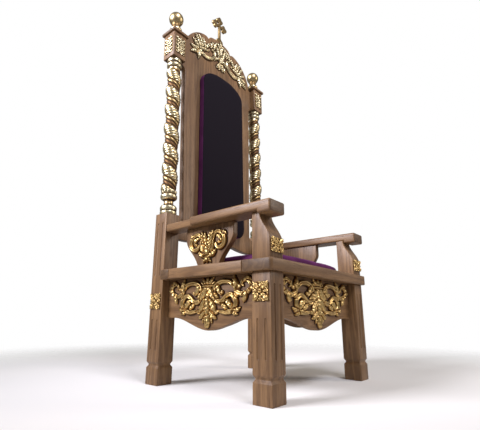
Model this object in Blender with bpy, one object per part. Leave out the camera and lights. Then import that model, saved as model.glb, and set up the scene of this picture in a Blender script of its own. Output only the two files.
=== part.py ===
"""Bishop's chair in carved oak with gilded ornament.

Metres, +Z up. The chair faces -Y, and X runs to the right of a person who faces it.
The origin is on the floor, under the middle of the chair's outer box.
"""
from math import atan2, cos, pi, radians, sin, sqrt

import bmesh
import bpy
from mathutils import Matrix, Vector

# Gap left between two pieces that touch
JOINT = 0.0003

# Legs and posts
CHAIR_WIDTH = 0.778
CHAIR_DEPTH = 0.667
LEG_SIZE = 0.081
POST_SIZE = 0.080
POST_TOP = 0.751
ARRIS = 0.003
FOOT_HEIGHT = 0.070
NOTCH_HEIGHT = 0.0215
NOTCH_DEPTH = 0.007
FOOT_CHAMFER = 0.004
POST_CHAMFER = 0.007

# Stopped flutes
FLUTE_WIDTH = 0.011
FLUTE_DEPTH = 0.004
FLUTE_SPACING = 0.034
FLUTE_LOW_END = 0.138
LEG_SHORT_FLUTE_TOP = 0.275
LEG_LONG_FLUTE_TOP = 0.393
POST_LOW_FLUTE_TOP = 0.268
POST_HIGH_FLUTE_FOOT = 0.456
POST_HIGH_FLUTE_TOP = 0.705

# Seat deck
DECK_TOP = 0.480
DECK_THICK = 0.044
DECK_OVERHANG = 0.017
DECK_CORNER = 0.014
DECK_FRONT_BOARD = 0.1335
DECK_SIDE_BOARD = 0.110
DECK_REAR_BOARD = 0.055
DECK_ARRIS = 0.003
SEAT_PANEL_THICK = 0.022

# Aprons
APRON_INSET = 0.038
APRON_THICK = 0.028
APRON_END_BOTTOM = 0.274
APRON_MIDDLE_BOTTOM = 0.226
APRON_FLAT_SHARE = 0.18
APRON_STEPS = 10

# Cushion on the deck
CUSHION_WIDTH = 0.600
CUSHION_DEPTH = 0.472
CUSHION_EDGE = 0.034
CUSHION_CROWN = 0.065
CUSHION_FROM_FRONT = 0.065
CUSHION_CORNER = 0.040

# Armrests
ARM_TOP = 0.692
ARM_THICK = 0.036
HAND_THICK = 0.048
ARM_OVERHANG = 0.0208
ARM_INNER_SETBACK = 0.004
ARM_WIDE_LENGTH = 0.422
ARM_ARRIS = 0.005

# Arm supports
SUPPORT_NECK = 0.036
SUPPORT_FOOT_HEIGHT = 0.075
SUPPORT_STEPS = 8

# Side boards under the armrests
SPLAT_THICK = 0.027
SPLAT_TOP_HALF = 0.139
SPLAT_FOOT_HALF = 0.065
SPLAT_BEND_SHARE = 0.22
SPLAT_STEPS = 10
SPLAT_SETBACK = 0.010

# Back, which leans back from the top of the posts
LEAN = radians(1.34)
COLUMN_BASE_RADIUS = 0.040
COLUMN_NECK_RADIUS = 0.021
COLUMN_COLLAR_RADIUS = 0.040
COLUMN_FOOT_HEIGHT = 0.119
SHAFT_TOP = 0.825
SHAFT_RADIUS = 0.0385
SHAFT_TURNS = 6.3
SHAFT_RINGS_A_TURN = 6
CAPITAL_RADIUS = 0.039
BLOCK_FOOT = 0.879
BLOCK_SIZE = 0.0865
BLOCK_HEIGHT = 0.157
CAP_SIZE = 0.1067
CAP_THICK = 0.017
BALL_RADIUS = 0.0405
BALL_CENTRE = 0.108
FINIAL_FOOT_RADIUS = 0.034
FINIAL_SIDES = 10

# Back panel
PANEL_THICK = 0.033
PANEL_SETBACK = 0.0285
PANEL_FOOT = 0.640
PANEL_FOOT_RISE = 0.032
PANEL_LOW_SHOULDER = 0.745
PANEL_LOW_HALF = 0.264
PANEL_HIGH_HALF = 0.282
PANEL_SHOULDER_RADIUS = 0.024
CREST_SHOULDER = 1.772
CREST_LOBE_FOOT = 1.780
CREST_LOBE_HALF = 0.287
CREST_LOBE_TOP = 1.955
CREST_LOBE_PLACE = 0.121
CREST_LOBE_POWER = 1.75
CREST_NOTCH_DEPTH = 0.011
CREST_MIDDLE_TOP = 1.984
CREST_MIDDLE_HALF = 0.092

# Upholstered back pad
PAD_HALF = 0.180
PAD_THICK = 0.044
PAD_FOOT = 0.700
PAD_TOP = 1.698
PAD_ARCH_RISE = 0.105
PAD_ARCH_POWER = 2.3
PAD_CORNER = 0.050
PAD_CORNER_HEIGHT = 0.065

# Gilded carving
CARVING_BURY = 0.004
CARVING_STAGGER = 0.0002
LEAF_FULLNESS = 1.55
LEAF_FULL_HALF = 0.010
LEAF_LEAST_HALF = 0.0015
APRON_CARVING_MARGIN = 0.016
APRON_CARVING_FOOT = 0.236
APRON_CARVING_HEIGHT = 0.197
APRON_CARVING_RELIEF = 0.016
SPLAT_CARVING_FOOT = 0.495
SPLAT_CARVING_HEIGHT = 0.135
SPLAT_CARVING_HALF = 0.107
SPLAT_CARVING_RELIEF = 0.014
CREST_CARVING_FOOT = 1.742
CREST_CARVING_HEIGHT = 0.232
CREST_CARVING_HALF = 0.250
CREST_CARVING_RELIEF = 0.016
ROSETTE_SIZE = 0.066
ROSETTE_RELIEF = 0.014
LEG_ROSETTE_PLACE = 0.366
POST_ROSETTE_PLACE = 0.345
SUPPORT_ROSETTE_WIDTH = 0.072
SUPPORT_ROSETTE_HEIGHT = 0.053
SUPPORT_ROSETTE_PLACE = 0.529
TILE_WIDTH = 0.066
TILE_HEIGHT = 0.102
TILE_RELIEF = 0.009

# Cross on the crest
CROSS_HEIGHT = 0.197
CROSS_ARM_HALF = 0.037
CROSS_ARM_PLACE = 0.128
CROSS_BAR = 0.011
CROSS_THICK = 0.012
CROSS_LEAF_HALF = 0.028
CROSS_LEAF_HEIGHT = 0.036
BUD_RADIUS = 0.014

# Sizes that follow from the ones above
HALF_WIDTH = CHAIR_WIDTH / 2
FRONT = -CHAIR_DEPTH / 2
REAR = CHAIR_DEPTH / 2
POST_FRONT = REAR - POST_SIZE
POST_MIDDLE_Y = REAR - POST_SIZE / 2
LEG_MIDDLE_Y = FRONT + LEG_SIZE / 2
LEG_MIDDLE_X = HALF_WIDTH - LEG_SIZE / 2
POST_MIDDLE_X = HALF_WIDTH - POST_SIZE / 2
DECK_FOOT = DECK_TOP - DECK_THICK
DECK_HALF = HALF_WIDTH + DECK_OVERHANG
DECK_FRONT = FRONT - DECK_OVERHANG
ARM_FOOT = ARM_TOP - ARM_THICK
HAND_FOOT = ARM_TOP - HAND_THICK
APRON_FACE_X = HALF_WIDTH - APRON_INSET
APRON_FACE_Y = FRONT + APRON_INSET
BLOCK_TOP = BLOCK_FOOT + BLOCK_HEIGHT
CAP_TOP = BLOCK_TOP + CAP_THICK
PANEL_FACE = POST_FRONT + PANEL_SETBACK - POST_MIDDLE_Y
REACH_BACK = POST_MIDDLE_Y + CAP_SIZE / 2 * cos(LEAN) + CAP_TOP * sin(LEAN)
SIDES = (("left", -1), ("right", 1))


def clear_scene():
    for old in list(bpy.data.objects):
        bpy.data.objects.remove(old, do_unlink=True)


def make_material(name, colour, roughness, metallic):
    material = bpy.data.materials.new(name)
    material.use_nodes = True
    shader = material.node_tree.nodes["Principled BSDF"]
    shader.inputs["Base Color"].default_value = (*colour, 1.0)
    shader.inputs["Roughness"].default_value = roughness
    shader.inputs["Metallic"].default_value = metallic
    return material


def make_empty(name, parent, location, rotation=(0, 0, 0)):
    empty = bpy.data.objects.new(name, None)
    bpy.context.collection.objects.link(empty)
    empty.parent = parent
    empty.location = location
    empty.rotation_euler = rotation
    return empty


def make_object(name, bm, material, parent, location=(0, 0, 0), turn=0.0, smooth=0.0):
    bm.normal_update()
    bmesh.ops.recalc_face_normals(bm, faces=bm.faces)
    mesh = bpy.data.meshes.new(name)
    bm.to_mesh(mesh)
    bm.free()
    if smooth:
        mesh.shade_smooth()
        mesh.set_sharp_from_angle(angle=smooth)
    mesh.materials.append(material)
    piece = bpy.data.objects.new(name, mesh)
    bpy.context.collection.objects.link(piece)
    piece.parent = parent
    piece.location = location
    piece.rotation_euler = (0, 0, turn)
    return piece


def soften(piece, width):
    """A narrow chamfer along the sharp outer edges of a wooden piece."""
    bm = bmesh.new()
    bm.from_mesh(piece.data)
    weight = bm.edges.layers.float.new("bevel_weight_edge")
    for edge in bm.edges:
        edge[weight] = 1.0 if edge.calc_face_angle_signed() > radians(40) else 0.0
    bm.to_mesh(piece.data)
    bm.free()
    bevel = piece.modifiers.new("arris", "BEVEL")
    bevel.width = width
    bevel.segments = 1
    bevel.limit_method = "WEIGHT"
    return piece


def box(low, high):
    """A box between two corners."""
    bm = bmesh.new()
    size = [b - a for a, b in zip(low, high)]
    middle = [(a + b) / 2 for a, b in zip(low, high)]
    bmesh.ops.create_cube(bm, size=1.0, matrix=Matrix.Translation(middle) @ Matrix.Diagonal((*size, 1.0)))
    return bm


def board(outline, depth):
    """A board with an outline of (x, z) points, from y = 0 back to y = depth."""
    bm = bmesh.new()
    front = [bm.verts.new((x, 0.0, z)) for x, z in outline]
    face = bm.faces.new(front)
    moved = bmesh.ops.extrude_face_region(bm, geom=[face])
    back = [item for item in moved["geom"] if isinstance(item, bmesh.types.BMVert)]
    bmesh.ops.translate(bm, verts=back, vec=(0.0, depth, 0.0))
    return bm


def slab(outline, low, high):
    """A flat piece with an outline of (x, y) points, between two heights."""
    bm = bmesh.new()
    face = bm.faces.new([bm.verts.new((x, y, low)) for x, y in outline])
    moved = bmesh.ops.extrude_face_region(bm, geom=[face])
    top = [item for item in moved["geom"] if isinstance(item, bmesh.types.BMVert)]
    bmesh.ops.translate(bm, verts=top, vec=(0.0, 0.0, high - low))
    return bm


def loft(rings, bm=None):
    """A closed skin through rings that all have the same number of points, also added to a mesh."""
    bm = bmesh.new() if bm is None else bm
    rows = [[bm.verts.new(point) for point in ring] for ring in rings]
    for low, high in zip(rows, rows[1:]):
        for i in range(len(low)):
            j = (i + 1) % len(low)
            bm.faces.new((low[i], low[j], high[j], high[i]))
    bm.faces.new(list(reversed(rows[0])))
    bm.faces.new(rows[-1])
    return bm


def mirror_outline(right_side):
    """A closed outline from its right half, which runs from the foot to the top."""
    return right_side + [(-x, z) for x, z in reversed(right_side) if abs(x) > 1e-6]


def ease(share):
    """A smooth step from 0 to 1."""
    return share * share * (3 - 2 * share)


def square_ring(size, arris, z):
    """A square with cut corners, as a list of points at one height."""
    h = size / 2
    k = h - arris
    corners = ((-k, -h), (k, -h), (h, -k), (h, k), (k, h), (-k, h), (-h, k), (-h, -k))
    return [(x, y, z) for x, y in corners]


def square_post(size, top, top_chamfer):
    """A leg or post with its foot block, notch and chamfered ends."""
    stations = [(size - 2 * FOOT_CHAMFER, 0.0), (size, FOOT_CHAMFER)]
    notch_foot = FOOT_HEIGHT
    stations.append((size, notch_foot - NOTCH_DEPTH / 3))
    stations.append((size - NOTCH_DEPTH, notch_foot + NOTCH_DEPTH / 3))
    stations.append((size - 2 * NOTCH_DEPTH, notch_foot + NOTCH_HEIGHT / 2))
    stations.append((size, notch_foot + NOTCH_HEIGHT))
    if top_chamfer:
        stations.append((size, top - top_chamfer))
    stations.append((size - 2 * top_chamfer, top))
    return loft([square_ring(s, ARRIS, z) for s, z in stations])


def flute_rings(low, high):
    """Rings of a long gouge cut along Z that opens towards -Y and runs out at both ends."""
    rings = []
    for z, share in ((low, 0.3), (low + FLUTE_WIDTH, 1.0), (high - FLUTE_WIDTH, 1.0), (high, 0.3)):
        half = FLUTE_WIDTH * share
        rings.append([(-half, -FLUTE_DEPTH, z), (half, -FLUTE_DEPTH, z), (0.0, FLUTE_DEPTH * (2 * share - 1), z)])
    return rings


def cut_flutes(piece, half, faces):
    """Pairs of flutes in the faces of a post; faces gives each pair's turn and its two ends."""
    gouges = bmesh.new()
    for turn, low, high in faces:
        spin = Matrix.Rotation(turn, 3, "Z")
        for side in (-1, 1):
            shift = Vector((side * FLUTE_SPACING / 2, -half, 0.0))
            loft([[spin @ (Vector(point) + shift) for point in ring] for ring in flute_rings(low, high)], gouges)
    cutter = make_object(f"{piece.name}_flutes", gouges, oak, piece)
    cutter.hide_render = True
    cutter.display_type = "WIRE"
    cut = piece.modifiers.new("flutes", "BOOLEAN")
    cut.operation = "DIFFERENCE"
    cut.object = cutter


def fuse(solids, name):
    """Overlapping closed shapes joined into one closed mesh."""
    first = bpy.data.meshes.new(name + "_first")
    solids[0].to_mesh(first)
    rest = bmesh.new()
    for solid in solids[1:]:
        part = bpy.data.meshes.new(name + "_rest")
        solid.to_mesh(part)
        rest.from_mesh(part)
        bpy.data.meshes.remove(part)
    others = bpy.data.meshes.new(name + "_others")
    rest.to_mesh(others)
    rest.free()
    for solid in solids:
        solid.free()
    base = bpy.data.objects.new(name + "_base", first)
    tool = bpy.data.objects.new(name + "_tool", others)
    bpy.context.collection.objects.link(base)
    bpy.context.collection.objects.link(tool)
    union = base.modifiers.new("union", "BOOLEAN")
    union.operation = "UNION"
    union.use_self = True
    union.object = tool
    bpy.context.view_layer.update()
    joined = base.evaluated_get(bpy.context.evaluated_depsgraph_get())
    result = bmesh.new()
    result.from_mesh(joined.to_mesh())
    joined.to_mesh_clear()
    bpy.data.objects.remove(tool, do_unlink=True)
    bpy.data.objects.remove(base, do_unlink=True)
    return result


def cut_flat(bm, point, normal):
    """Everything behind a plane cut away, and the cut closed."""
    geometry = list(bm.verts) + list(bm.edges) + list(bm.faces)
    bmesh.ops.bisect_plane(bm, geom=geometry, plane_co=point, plane_no=normal, clear_inner=True)
    bmesh.ops.remove_doubles(bm, verts=bm.verts, dist=5e-5)
    bmesh.ops.dissolve_degenerate(bm, edges=bm.edges, dist=5e-5)
    rim = [edge for edge in bm.edges if edge.is_boundary]
    bmesh.ops.triangle_fill(bm, edges=rim, use_beauty=True, normal=normal)


def carved_leaf(path, widths, relief, bury):
    """A ridged leaf or strap along (x, z) points, standing proud towards -Y."""
    rings = []
    count = len(path)
    for i, (x, z) in enumerate(path):
        before = path[max(i - 1, 0)]
        after = path[min(i + 1, count - 1)]
        angle = atan2(after[1] - before[1], after[0] - before[0])
        place = i / (count - 1) * (len(widths) - 1)
        low = min(int(place), len(widths) - 2)
        half = widths[low] + (widths[low + 1] - widths[low]) * (place - low)
        half = max(half * LEAF_FULLNESS, LEAF_LEAST_HALF)
        side = Vector((-sin(angle), 0.0, cos(angle))) * half
        middle = Vector((x, 0.0, z))
        proud = relief * (0.45 + 0.55 * min(1.0, half / LEAF_FULL_HALF))
        rings.append([middle + side + Vector((0, bury, 0)),
                      middle + Vector((0, -proud, 0)),
                      middle - side + Vector((0, bury, 0))])
    return loft(rings)


def spiral(centre, start, end, start_angle, end_angle, steps):
    """Points of a spiral round a centre, from one radius and angle to another."""
    points = []
    for step in range(steps + 1):
        t = step / steps
        angle = radians(start_angle + (end_angle - start_angle) * t)
        radius = start + (end - start) * t
        points.append((centre[0] + radius * cos(angle), centre[1] + radius * sin(angle)))
    return points


def carving(name, strokes, half, height, relief):
    """A mirrored scroll carving: each stroke is (points, widths, mirrored), in shares of its size."""
    solids = []
    for number, (points, widths, mirrored) in enumerate(strokes):
        for side in (1, -1) if mirrored else (1,):
            path = [(side * x * half, z * height) for x, z in points]
            bury = CARVING_BURY + CARVING_STAGGER * len(solids)
            if side < 0:
                path.reverse()
                used = list(reversed(widths))
            else:
                used = widths
            lift = relief * (0.82 + 0.06 * (number % 4))
            solids.append(carved_leaf(path, used, lift, bury))
    bm = fuse(solids, name)
    cut_flat(bm, (0, 0, 0), (0, -1, 0))
    return bm


def apron_strokes():
    """Crowned middle leaf, large and small scrolls, and leaves, as on each apron."""
    big = spiral((0.385, 0.67), 0.20, 0.07, 60, 380, 7)
    big = [(x, 0.67 + (z - 0.67) * 1.20) for x, z in big]
    small = spiral((0.872, 0.765), 0.125, 0.05, 200, -90, 5)
    small = [(x, 0.765 + (z - 0.765) * 1.15) for x, z in small]
    return [
        ([(0.0, 0.80), (0.0, 0.61), (0.0, 0.36), (0.0, 0.20)], [0.010, 0.019, 0.020, 0.011], False),
        ([(0.0, 0.24), (0.0, 0.08), (0.0, 0.0)], [0.010, 0.016, 0.006], False),
        ([(0.0, 0.80), (0.0, 0.93), (0.0, 1.0)], [0.009, 0.008, 0.001], False),
        ([(0.03, 0.82), (0.08, 0.91), (0.115, 0.99)], [0.008, 0.007, 0.001], True),
        ([(0.04, 0.77), (0.13, 0.70), (0.215, 0.61)], [0.010, 0.013, 0.002], True),
        ([(0.06, 0.50), (0.17, 0.35), (0.225, 0.18)], [0.011, 0.014, 0.002], True),
        ([(0.59, 0.90)] + big, [0.006] + [0.010] * 4 + [0.007, 0.005], True),
        ([(0.57, 0.92), (0.63, 0.80), (0.69, 0.70)], [0.005, 0.009, 0.010], True),
        ([(0.67, 0.68), (0.665, 0.84), (0.645, 1.0)], [0.013, 0.012, 0.001], True),
        ([(0.68, 0.70), (0.735, 0.53), (0.665, 0.37), (0.55, 0.265), (0.42, 0.235), (0.27, 0.295),
          (0.19, 0.36)], [0.010, 0.011, 0.011, 0.011, 0.009, 0.007, 0.004], True),
        ([(0.57, 0.30), (0.515, 0.43), (0.47, 0.55)], [0.012, 0.012, 0.001], True),
        ([(0.655, 0.34), (0.70, 0.33), (0.75, 0.35)], [0.007, 0.011, 0.002], True),
        ([(0.70, 0.70)] + small, [0.007, 0.010, 0.010, 0.009, 0.006, 0.004], True),
        ([(0.875, 0.70), (0.89, 0.56), (0.865, 0.47)], [0.006, 0.012, 0.003], True),
        ([(0.90, 0.84), (0.975, 0.88), (0.945, 0.96)], [0.007, 0.007, 0.001], True),
    ]


def splat_strokes():
    """Two volutes on one stem, with rising leaves between them."""
    ring = spiral((0.626, 0.637), 0.37, 0.17, 190, -190, 9)
    ring = [(x, 0.637 + (z - 0.637) * 0.80) for x, z in ring]
    return [
        ([(0.0, 0.66), (0.0, 0.36), (0.0, 0.10)], [0.009, 0.013, 0.009], False),
        ([(0.0, 0.12), (0.0, 0.04), (0.0, 0.0)], [0.007, 0.009, 0.004], False),
        ([(0.04, 0.24), (0.20, 0.42)] + ring, [0.007, 0.009] + [0.010] * 6 + [0.007, 0.004], True),
        ([(0.04, 0.55), (0.16, 0.78), (0.30, 0.98)], [0.009, 0.012, 0.002], True),
        ([(0.10, 0.34), (0.24, 0.31), (0.38, 0.36)], [0.006, 0.010, 0.002], True),
    ]


def crest_strokes():
    """A fan of leaves over a hanging flower, with scrolls that follow the crest."""
    inner = spiral((0.60, 0.54), 0.17, 0.06, 200, -110, 6)
    outer = spiral((0.85, 0.35), 0.12, 0.05, 230, -70, 5)
    return [
        ([(0.0, 0.36), (0.0, 0.62), (0.0, 0.90)], [0.010, 0.012, 0.002], False),
        ([(0.0, 0.30), (0.0, 0.22), (0.0, 0.15)], [0.010, 0.016, 0.010], False),
        ([(0.0, 0.42), (0.0, 0.34), (0.0, 0.27)], [0.008, 0.014, 0.006], False),
        ([(-0.045, 0.93), (0.0, 0.95), (0.045, 0.93)], [0.004, 0.011, 0.004], False),
        ([(0.0, 0.85), (0.0, 0.97)], [0.008, 0.004], False),
        ([(0.02, 0.36), (0.08, 0.62), (0.13, 0.86)], [0.008, 0.011, 0.002], True),
        ([(0.03, 0.36), (0.14, 0.56), (0.235, 0.76)], [0.008, 0.011, 0.002], True),
        ([(0.03, 0.34), (0.20, 0.47), (0.33, 0.58)], [0.008, 0.010, 0.002], True),
        ([(0.03, 0.30), (0.22, 0.22), (0.40, 0.36)] + inner, [0.006, 0.010, 0.011, 0.011, 0.010, 0.007, 0.004],
         True),
        ([(0.36, 0.32), (0.50, 0.22), (0.66, 0.20), (0.76, 0.24)] + outer,
         [0.006, 0.010, 0.010, 0.009, 0.009, 0.006, 0.004], True),
        ([(0.60, 0.24), (0.70, 0.12), (0.745, 0.0)], [0.009, 0.011, 0.001], True),
        ([(0.82, 0.30), (0.94, 0.19), (0.985, 0.08)], [0.008, 0.011, 0.002], True),
        ([(0.44, 0.62), (0.56, 0.80), (0.76, 0.70)], [0.006, 0.011, 0.003], True),
        ([(0.34, 0.56), (0.40, 0.74), (0.50, 0.86)], [0.007, 0.010, 0.001], True),
        ([(0.16, 0.24), (0.20, 0.12), (0.30, 0.06)], [0.006, 0.008, 0.001], True),
        ([(0.84, 0.38), (0.95, 0.48), (0.90, 0.62)], [0.007, 0.008, 0.001], True),
    ]


def rosette(width, height, relief):
    """A square flower in relief: a raised boss, four corner petals and a thin rim."""
    bm = bmesh.new()
    edge = relief * 0.60
    directions = [(1, 0), (1, 1), (0, 1), (-1, 1), (-1, 0), (-1, -1), (0, -1), (1, -1)]

    def ring(share, corner, between):
        points = []
        for x, z in directions:
            proud = corner if x and z else between
            points.append(bm.verts.new((x * width / 2 * share, -proud, z * height / 2 * share)))
        return points

    apex = bm.verts.new((0, -relief, 0))
    petal = ring(0.56, relief * 0.96, relief * 0.40)
    rim = ring(1.0, edge, edge)
    back = ring(1.0, 0.0, 0.0)
    for i in range(8):
        j = (i + 1) % 8
        bm.faces.new((apex, petal[i], petal[j]))
        for a, b in ((petal, rim), (rim, back)):
            bm.faces.new((a[i], b[i], b[j], a[j]))
    bm.faces.new(back)
    return bm


def build_legs():
    short_pair = (FLUTE_LOW_END, LEG_SHORT_FLUTE_TOP)
    long_pair = (FLUTE_LOW_END, LEG_LONG_FLUTE_TOP)
    low_pair = (FLUTE_LOW_END, POST_LOW_FLUTE_TOP)
    high_pair = (POST_HIGH_FLUTE_FOOT, POST_HIGH_FLUTE_TOP)
    for name, side in SIDES:
        outward = side * pi / 2
        leg = make_object(f"front_leg_{name}", square_post(LEG_SIZE, DECK_FOOT - JOINT, 0.0), oak, chair,
                          (side * LEG_MIDDLE_X, LEG_MIDDLE_Y, 0.0))
        cut_flutes(leg, LEG_SIZE / 2, [(0.0, *long_pair), (outward, *short_pair)])
        post = make_object(f"rear_post_{name}", square_post(POST_SIZE, POST_TOP, POST_CHAMFER), oak, chair,
                           (side * POST_MIDDLE_X, POST_MIDDLE_Y, 0.0))
        cut_flutes(post, POST_SIZE / 2, [(outward, *low_pair), (outward, *high_pair)])


def apron_outline(half, top):
    """Straight ends and a smooth droop to the middle."""
    flat = half * (1 - APRON_FLAT_SHARE)
    points = [(half, top), (half, APRON_END_BOTTOM)]
    for step in range(APRON_STEPS + 1):
        share = step / APRON_STEPS
        drop = (APRON_END_BOTTOM - APRON_MIDDLE_BOTTOM) * ease(share)
        points.append((flat * (1 - share), APRON_END_BOTTOM - drop))
    right = list(reversed(points))
    return mirror_outline(right)


def build_aprons():
    top = DECK_FOOT - JOINT
    front_half = LEG_MIDDLE_X - LEG_SIZE / 2 - JOINT
    rear_half = POST_MIDDLE_X - POST_SIZE / 2 - JOINT
    side_low = FRONT + LEG_SIZE + JOINT
    side_high = POST_FRONT - JOINT
    side_half = (side_high - side_low) / 2
    side_middle = (side_high + side_low) / 2
    make_object("apron_front", board(apron_outline(front_half, top), APRON_THICK), oak, chair,
                (0, APRON_FACE_Y, 0))
    make_object("apron_rear", board(apron_outline(rear_half, DECK_TOP), APRON_THICK), oak, chair,
                (0, POST_FRONT + JOINT, 0))
    margin = APRON_CARVING_MARGIN
    place = APRON_CARVING_FOOT
    front_carving = carving("apron_ornament_front", apron_strokes(), front_half - margin,
                            APRON_CARVING_HEIGHT, APRON_CARVING_RELIEF)
    make_object("apron_ornament_front", front_carving, gold, chair, (0, APRON_FACE_Y - JOINT, place))
    for name, side in SIDES:
        turn = side * pi / 2
        make_object(f"apron_{name}", board(apron_outline(side_half, top), APRON_THICK), oak, chair,
                    (side * APRON_FACE_X, side_middle, 0), turn)
        side_carving = carving(f"apron_ornament_{name}", apron_strokes(), side_half - margin,
                               APRON_CARVING_HEIGHT, APRON_CARVING_RELIEF)
        make_object(f"apron_ornament_{name}", side_carving, gold, chair,
                    (side * (APRON_FACE_X + JOINT), side_middle, place), turn)


def arc(centre, radius, start, end, steps):
    """Points of an arc, with its angles in degrees."""
    points = []
    for step in range(steps + 1):
        angle = radians(start + (end - start) * step / steps)
        points.append((centre[0] + radius * cos(angle), centre[1] + radius * sin(angle)))
    return points


def build_deck():
    rear = POST_FRONT - JOINT
    front_back = DECK_FRONT + DECK_FRONT_BOARD
    corner_y = DECK_FRONT + DECK_CORNER
    corner_x = DECK_HALF - DECK_CORNER
    right_corner = arc((corner_x, corner_y), DECK_CORNER, -90, 0, 4)
    left_corner = arc((-corner_x, corner_y), DECK_CORNER, 180, 270, 4)
    outline = [(DECK_HALF, front_back), (-DECK_HALF, front_back)] + left_corner + right_corner
    front_board = slab(outline, DECK_FOOT, DECK_TOP)
    soften(make_object("deck_front", front_board, oak, chair), DECK_ARRIS)
    rear_front = rear - DECK_REAR_BOARD
    side_back = rear_front - JOINT
    rear_board = box((-DECK_HALF, rear_front, DECK_FOOT), (DECK_HALF, rear, DECK_TOP))
    soften(make_object("deck_rear", rear_board, oak, chair), DECK_ARRIS)
    inner = DECK_HALF - DECK_SIDE_BOARD
    side_front = front_back + JOINT
    for name, side in SIDES:
        low_x, high_x = sorted((side * inner, side * DECK_HALF))
        side_board = box((low_x, side_front, DECK_FOOT), (high_x, side_back, DECK_TOP))
        soften(make_object(f"deck_{name}", side_board, oak, chair), DECK_ARRIS)
    edge = inner - JOINT
    panel = box((-edge, side_front, DECK_TOP - SEAT_PANEL_THICK), (edge, side_back, DECK_TOP))
    make_object("seat_panel", panel, oak, chair)


def rounded_rectangle(half_x, half_y, radius, steps):
    points = []
    for sx, sy, start in ((1, -1, -90), (1, 1, 0), (-1, 1, 90), (-1, -1, 180)):
        centre = (sx * (half_x - radius), sy * (half_y - radius))
        points += arc(centre, radius, start, start + 90, steps)
    return points


def build_cushion():
    """A low cushion with a rounded edge and a gentle crown."""
    foot = DECK_TOP + JOINT
    rings = []
    for inset, height in ((0.006, 0.0), (0.0, 0.35), (0.005, 0.85), (0.022, 1.15), (0.075, 1.65), (0.15, 2.1)):
        low = min(height, 1.0) * CUSHION_EDGE
        rise = (CUSHION_CROWN - CUSHION_EDGE) * max(0.0, (height - 1.0) / 1.4)
        half_x = CUSHION_WIDTH / 2 - inset
        half_y = CUSHION_DEPTH / 2 - inset
        ring = rounded_rectangle(half_x, half_y, CUSHION_CORNER, 3)
        rings.append([(x, y, low + rise) for x, y in ring])
    bm = loft(rings)
    middle_y = DECK_FRONT + CUSHION_FROM_FRONT + CUSHION_DEPTH / 2
    make_object("seat_cushion", bm, purple_velvet, chair, (0, middle_y, foot), smooth=radians(40))


def armrest_mesh(side):
    """A flat board with a lip under the hand end, and a narrower tail that is flush with the post."""
    front = DECK_FRONT
    rear = POST_FRONT - JOINT
    step = front + ARM_WIDE_LENGTH
    lip = FRONT + LEG_SIZE - SUPPORT_NECK - JOINT
    outer = HALF_WIDTH + ARM_OVERHANG
    inner = HALF_WIDTH - LEG_SIZE + ARM_INNER_SETBACK
    whole = [(front, ARM_TOP), (front, HAND_FOOT), (lip, HAND_FOOT), (lip, ARM_FOOT), (step, ARM_FOOT),
             (rear, ARM_FOOT), (rear, ARM_TOP), (step, ARM_TOP)]
    wide = whole[:5] + whole[7:]
    bm = bmesh.new()
    near = [bm.verts.new((side * inner, y, z)) for y, z in whole]
    middle = [bm.verts.new((side * HALF_WIDTH, y, z)) for y, z in whole]
    far = [bm.verts.new((side * outer, y, z)) for y, z in wide]
    bm.faces.new(near)
    bm.faces.new(middle[4:])
    bm.faces.new(far)
    for row, other in ((near, middle), (middle[:5] + middle[7:], far)):
        for i in range(len(row)):
            j = (i + 1) % len(row)
            bm.faces.new((row[i], row[j], other[j], other[i]))
    return bm


def build_arms():
    for name, side in SIDES:
        soften(make_object(f"armrest_{name}", armrest_mesh(side), oak, chair), ARM_ARRIS)


def build_supports():
    """Stumps with an S-shaped front, from the full leg size up to a neck behind the lip of the hand end."""
    foot = DECK_TOP + JOINT
    top = ARM_FOOT - JOINT
    waist = foot + SUPPORT_FOOT_HEIGHT
    outline = [(LEG_SIZE, foot), (LEG_SIZE, top), (LEG_SIZE - SUPPORT_NECK, top)]
    for step in range(SUPPORT_STEPS + 1):
        share = 1 - step / SUPPORT_STEPS
        setback = (LEG_SIZE - SUPPORT_NECK) * (0.55 * ease(share) + 0.45 * share)
        outline.append((setback, waist + (HAND_FOOT - JOINT - waist) * share))
    outline.append((0.0, foot))
    for name, side in SIDES:
        bm = board(outline, LEG_SIZE)
        for vert in bm.verts:
            vert.co = (vert.co.y - LEG_SIZE / 2, vert.co.x, vert.co.z)
        support = make_object(f"arm_support_{name}", bm, oak, chair, (side * LEG_MIDDLE_X, FRONT, 0))
        soften(support, ARRIS)
        place = (side * LEG_MIDDLE_X, FRONT - JOINT, SUPPORT_ROSETTE_PLACE)
        carved = rosette(SUPPORT_ROSETTE_WIDTH, SUPPORT_ROSETTE_HEIGHT, ROSETTE_RELIEF)
        make_object(f"rosette_support_{name}", carved, gold, chair, place)


def build_splats():
    foot = DECK_TOP + JOINT
    top = ARM_FOOT - JOINT
    height = top - foot
    right = []
    for step in range(SPLAT_STEPS + 1):
        share = step / SPLAT_STEPS
        bend = max(0.0, min(1.0, (share - 0.08) / 0.62))
        half = SPLAT_FOOT_HALF + (SPLAT_TOP_HALF - SPLAT_FOOT_HALF) * (bend ** 0.5 * SPLAT_BEND_SHARE
                                                                     + ease(bend) * (1 - SPLAT_BEND_SHARE))
        right.append((half, foot + height * share))
    outline = mirror_outline(right)
    middle_y = (FRONT + LEG_SIZE + POST_FRONT) / 2 + SPLAT_SETBACK
    for name, side in SIDES:
        turn = side * pi / 2
        splat = make_object(f"splat_{name}", board(outline, SPLAT_THICK), oak, chair,
                            (side * APRON_FACE_X, middle_y, 0), turn)
        soften(splat, ARRIS)
        carved = carving(f"splat_ornament_{name}", splat_strokes(), SPLAT_CARVING_HALF, SPLAT_CARVING_HEIGHT,
                         SPLAT_CARVING_RELIEF)
        make_object(f"splat_ornament_{name}", carved, gold, chair,
                    (side * (APRON_FACE_X + JOINT), middle_y, SPLAT_CARVING_FOOT), turn)


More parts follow.
